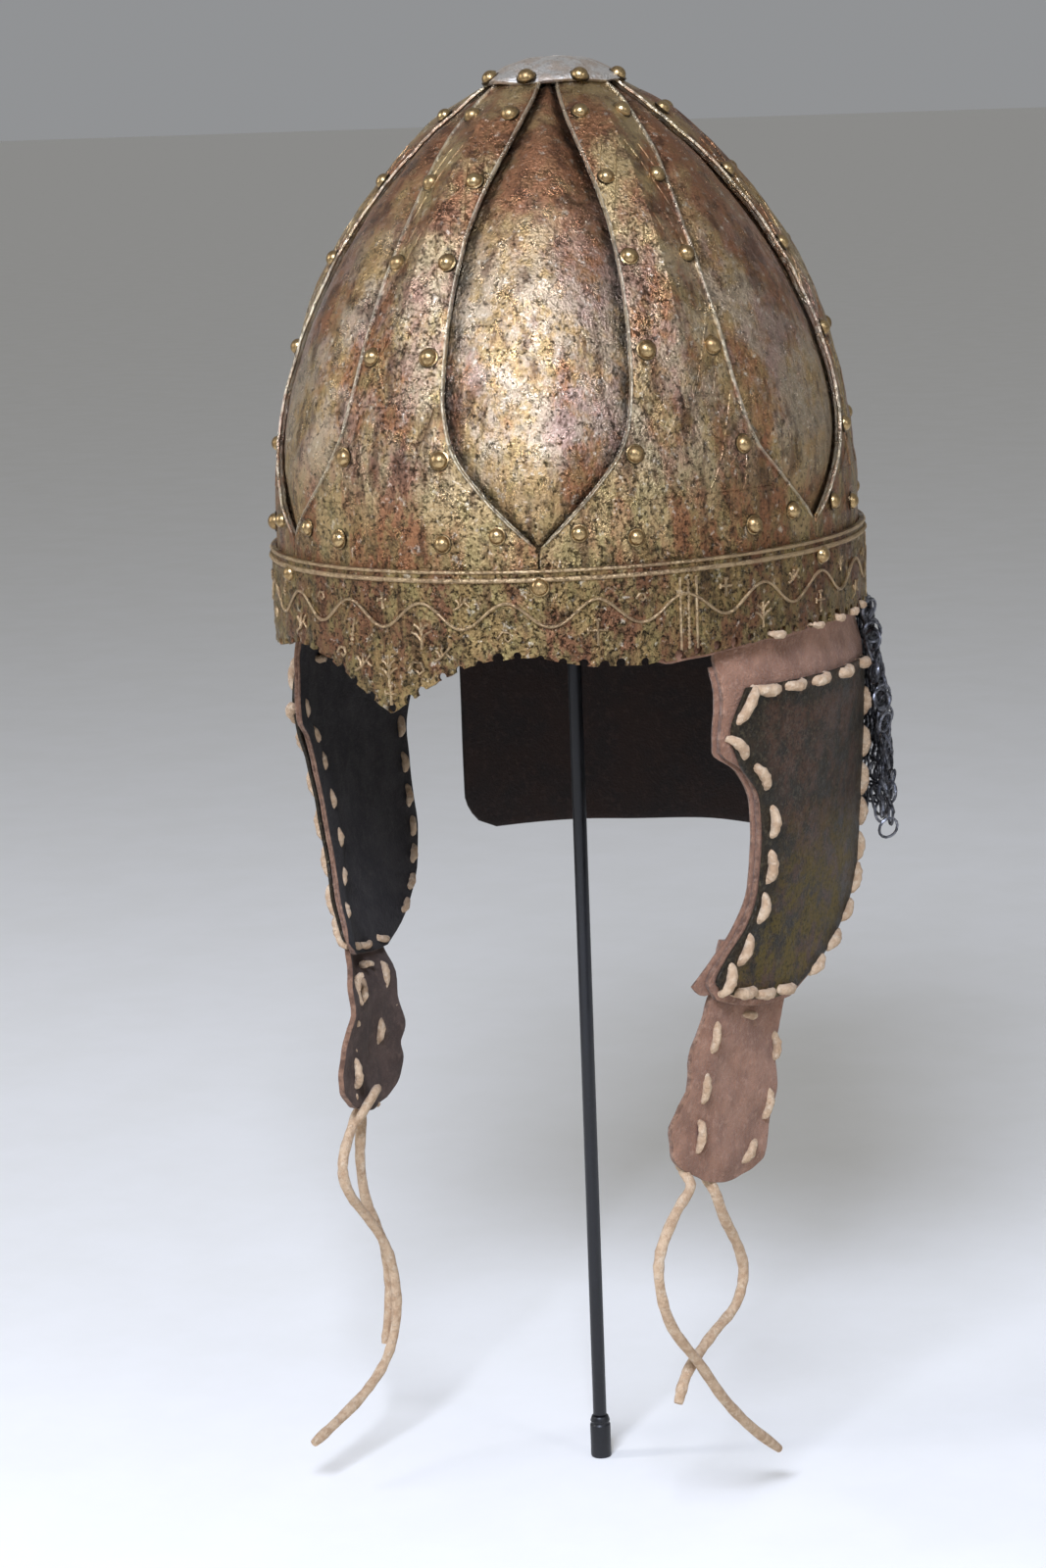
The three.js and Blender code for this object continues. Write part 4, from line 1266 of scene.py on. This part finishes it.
# %% [markdown]
# On the right, both ties leave the strap through one half hitch, a thong turned once
# round the other two. It is a short closed loop, swept round them where they leave.
# %% Half hitch
HITCH_MIDDLE = Vector((-70.6, -41.5, 138))
HITCH_STEPS = 14
hitch_points = []
for k in range(HITCH_STEPS):
    angle = math.tau * k / HITCH_STEPS
    aside = Vector((3.4 * math.sin(angle), 5 * math.cos(angle), 6 * math.sin(angle + 0.6)))
    hitch_points.append((HITCH_MIDDLE + aside) * MM)
hitch = to_mesh(swept("hitch", hitch_points, 3.4, None, sides=2, cyclic=True, smooth_path=False))[0]
hitch.name = "half_hitch"
roughened(hitch, 0.35, 2)
face_outwards(hitch)
finish_piece(hitch, 60, [RAWHIDE])

# %% [markdown]
# Behind the flaps a stiff hide guards the neck, painted near black as painted shade of the
# helmet's hollow. It is an upright sheet that carries on the wall of the brow band round
# the back, with both lower corners rounded off.
# %% Neck guard
GUARD_FROM, GUARD_TO, GUARD_DROP = 126, 242, 98
GUARD_CORNER = [(0, 0), (GUARD_DROP - 14, 0), (GUARD_DROP - 4, 2.5), (GUARD_DROP, 7)]


def guard_place(across, up):
    depth = GUARD_DROP - up * (GUARD_DROP + 10)
    cut = along(GUARD_CORNER, depth)
    turn = GUARD_FROM + cut + across * (GUARD_TO - GUARD_FROM - 2 * cut)
    depth += 1.2 * noise.noise(Vector((across * 5, 0, 2))) * (1 - up)
    ground = wall_point(turn, RIM_Z - depth)
    return wall_point(turn, RIM_Z - depth, -FLAP_INSET + hammered(ground, 0.7, 30) * (1 - up))


guard = beaten_sheet("neck_leather", 60, 34, guard_place)
thicken(guard, LEATHER)
round_edges(guard, 0.5)
finish_piece(guard, 50, [SHADED_HIDE], ["neck_guard"])

# %% [markdown]
# Mail hangs round the back. One wire ring is copied some hundreds of times, so it has
# few faces. In real mail each ring passes through four others: rows alternate in tilt,
# and every second row is set half a ring aside, which makes them link through. Worn mail
# hangs loose and ragged, so each ring is turned a little, most of all at the edges.
# %% Mail curtain
RING_RADIUS, WIRE, RING_TILT = 3.7, 1.1, 28
MAIL_FROM, MAIL_TO, MAIL_DROP = 117, 236, 84
MAIL_FLARE = [(0, 0), (20, 3), (46, 6.5), (67, 7.5), (84, 5.5)]
ROW_PITCH, COLUMN_PITCH, TORN_BELOW = 3.9, 6.3, 58
mail_random = random.Random(41)

pick(camera)
bpy.ops.mesh.primitive_torus_add(
    major_segments=14, minor_segments=5, major_radius=RING_RADIUS * MM, minor_radius=WIRE / 2 * MM)
one_ring = bpy.context.object


def mail_ring(turn, depth, tilt):
    flare = along(MAIL_FLARE, depth)
    middle = wall_point(turn, RIM_Z - depth, flare)
    angle = math.radians(turn)
    outward = Vector((math.sin(angle), -math.cos(angle), 0))
    sideways = Vector((0, 0, 1)).cross(outward)
    loose = smooth_step(depth, 50, 84) * 0.5 + smooth_step(MAIL_FROM + 7 - turn, 0, 6) * 0.9
    loose = 0.1 + loose + smooth_step(turn - MAIL_TO + 7, 0, 6) * 0.6
    spin = [mail_random.uniform(-loose, loose) for _ in range(3)]
    facing = outward + sideways * (math.sin(tilt) + spin[0]) + Vector((0, 0, 0.5 * spin[1]))
    drift = Vector([mail_random.uniform(-1, 1) for _ in range(3)]) * loose * 1.3 * MM
    return copy_onto(one_ring, middle + drift, facing.normalized(), 1, spin[2])


rings = []
columns = round(math.radians(MAIL_TO - MAIL_FROM) * 110 / COLUMN_PITCH)
for row in range(round((MAIL_DROP - 5) / ROW_PITCH) + 1):
    for column in range(columns + 1):
        share = (column + (0.5 if row % 2 else 0)) / columns
        depth = 3 + row * ROW_PITCH
        hang = 3.5 * noise.noise(Vector((share * 9, 0, 3)))
        torn = depth > TORN_BELOW and mail_random.random() < (depth - TORN_BELOW) / 75
        past_end = share > 1 or depth + hang > MAIL_DROP - 3
        if torn or past_end:
            continue
        tilt = math.radians(RING_TILT if row % 2 else -RING_TILT)
        rings.append(mail_ring(MAIL_FROM + share * (MAIL_TO - MAIL_FROM), depth, tilt))
print("rings in the curtain:", len(rings))
bpy.data.objects.remove(one_ring)
mail = join("mail_rings", rings)
finish_piece(mail, 60, [MAIL_METAL], ["mail_curtain"])

# %% [markdown]
# The stand is a thin steel rod in a ferrule, with a turned cap that holds the crown from
# inside. Each is turned from a disc: its face is extruded and resized ring by ring along
# the profile, as on a lathe, and its corners are rounded by a bevel.
# %% Stand
STAND_PROFILES = {
    "stand_rod": [(2.5, 16.3), (2.5, 489.7)],
    "stand_foot": [(3.5, 0), (3.8, 0.4), (3.8, 12.6), (3.3, 13), (3.3, 13.6), (3.7, 14), (3, 16)],
    "stand_cap": [(6, 490), (8, 490.4), (20, 497), (20, 499.5), (12, 502.5), (4, 503.8)],
}
for node, profile in STAND_PROFILES.items():
    pick(camera)
    radius, z = profile[0]
    bpy.ops.mesh.primitive_circle_add(vertices=48, radius=radius * MM, fill_type="NGON")
    turned = bpy.context.object
    turned.name = node + "_turned"
    turned.data.transform(Matrix.Translation((0, 0, z * MM)))
    bpy.ops.object.mode_set(mode="EDIT")
    bpy.ops.mesh.select_all(action="SELECT")
    for next_radius, next_z in profile[1:]:
        bpy.ops.mesh.extrude_region_move(
            TRANSFORM_OT_translate={"value": (0, 0, (next_z - z) * MM)})
        growth = next_radius / radius
        bpy.ops.transform.resize(value=(growth, growth, 1), center_override=(0, 0, next_z * MM))
        radius, z = next_radius, next_z
    bpy.ops.object.mode_set(mode="OBJECT")
    face_outwards(turned)
    round_edges(turned, 0.3, angle=35)
    finish_piece(turned, 40, [STAND_PAINT], [node])

# %% [markdown]
# A plain pale floor under the foot, and a plain pale room. The floor is not part of the object.
# %% Floor and room
pick(camera)
bpy.ops.mesh.primitive_plane_add(size=120, location=(0, 0, 0))
floor = bpy.context.object
floor.name = "floor"
floor_finish, floor_tree, floor_shader, floor_place = new_finish("matt board, pale", Roughness=0.9)
floor_spots = worn_spots(floor_tree, floor_place, 60, 0.3, 0.7)
floor_colour = tint(floor_tree, linear("#f2efe8"), floor_spots, 1.0, "#f5f2ec")
floor_tree.links.new(floor_colour, floor_shader.inputs["Base Color"])
floor.data.materials.append(floor_finish)

room = bpy.data.worlds.new("room")
room.use_nodes = True
room.node_tree.nodes["Background"].inputs["Color"].default_value = linear("#e6e8eb")
room.node_tree.nodes["Background"].inputs["Strength"].default_value = 0.36
bpy.context.scene.world = room

# %% [markdown]
# Three soft boxes: a cool key high before the helmet, which lays a silvery gleam on the
# front plate, and a tall narrow fill on either side that draws out the crown's edges.
# %% Lights
CROWN_MIDDLE = Vector((0, 0, 0.38))


def soft_box(name, place, width, height, watts, hex_colour):
    lamp = bpy.data.lights.new(name, "AREA")
    lamp.shape = "RECTANGLE"
    lamp.size, lamp.size_y, lamp.energy = width, height, watts
    lamp.color = linear(hex_colour)[:3]
    box = bpy.data.objects.new(name, lamp)
    bpy.context.collection.objects.link(box)
    box.location = place
    aim = CROWN_MIDDLE - Vector(place)
    box.rotation_euler = aim.to_track_quat("-Z", "Y").to_euler()


soft_box("key", (0.44, -1.1, 1.25), 0.6, 0.35, 37, "#d8e2fa")
soft_box("fill_left", (-1.2, -0.9, 0.9), 0.25, 0.7, 8, "#eef1f8")
soft_box("fill_right", (1.5, -0.3, 0.8), 0.25, 0.7, 3, "#eef1f8")
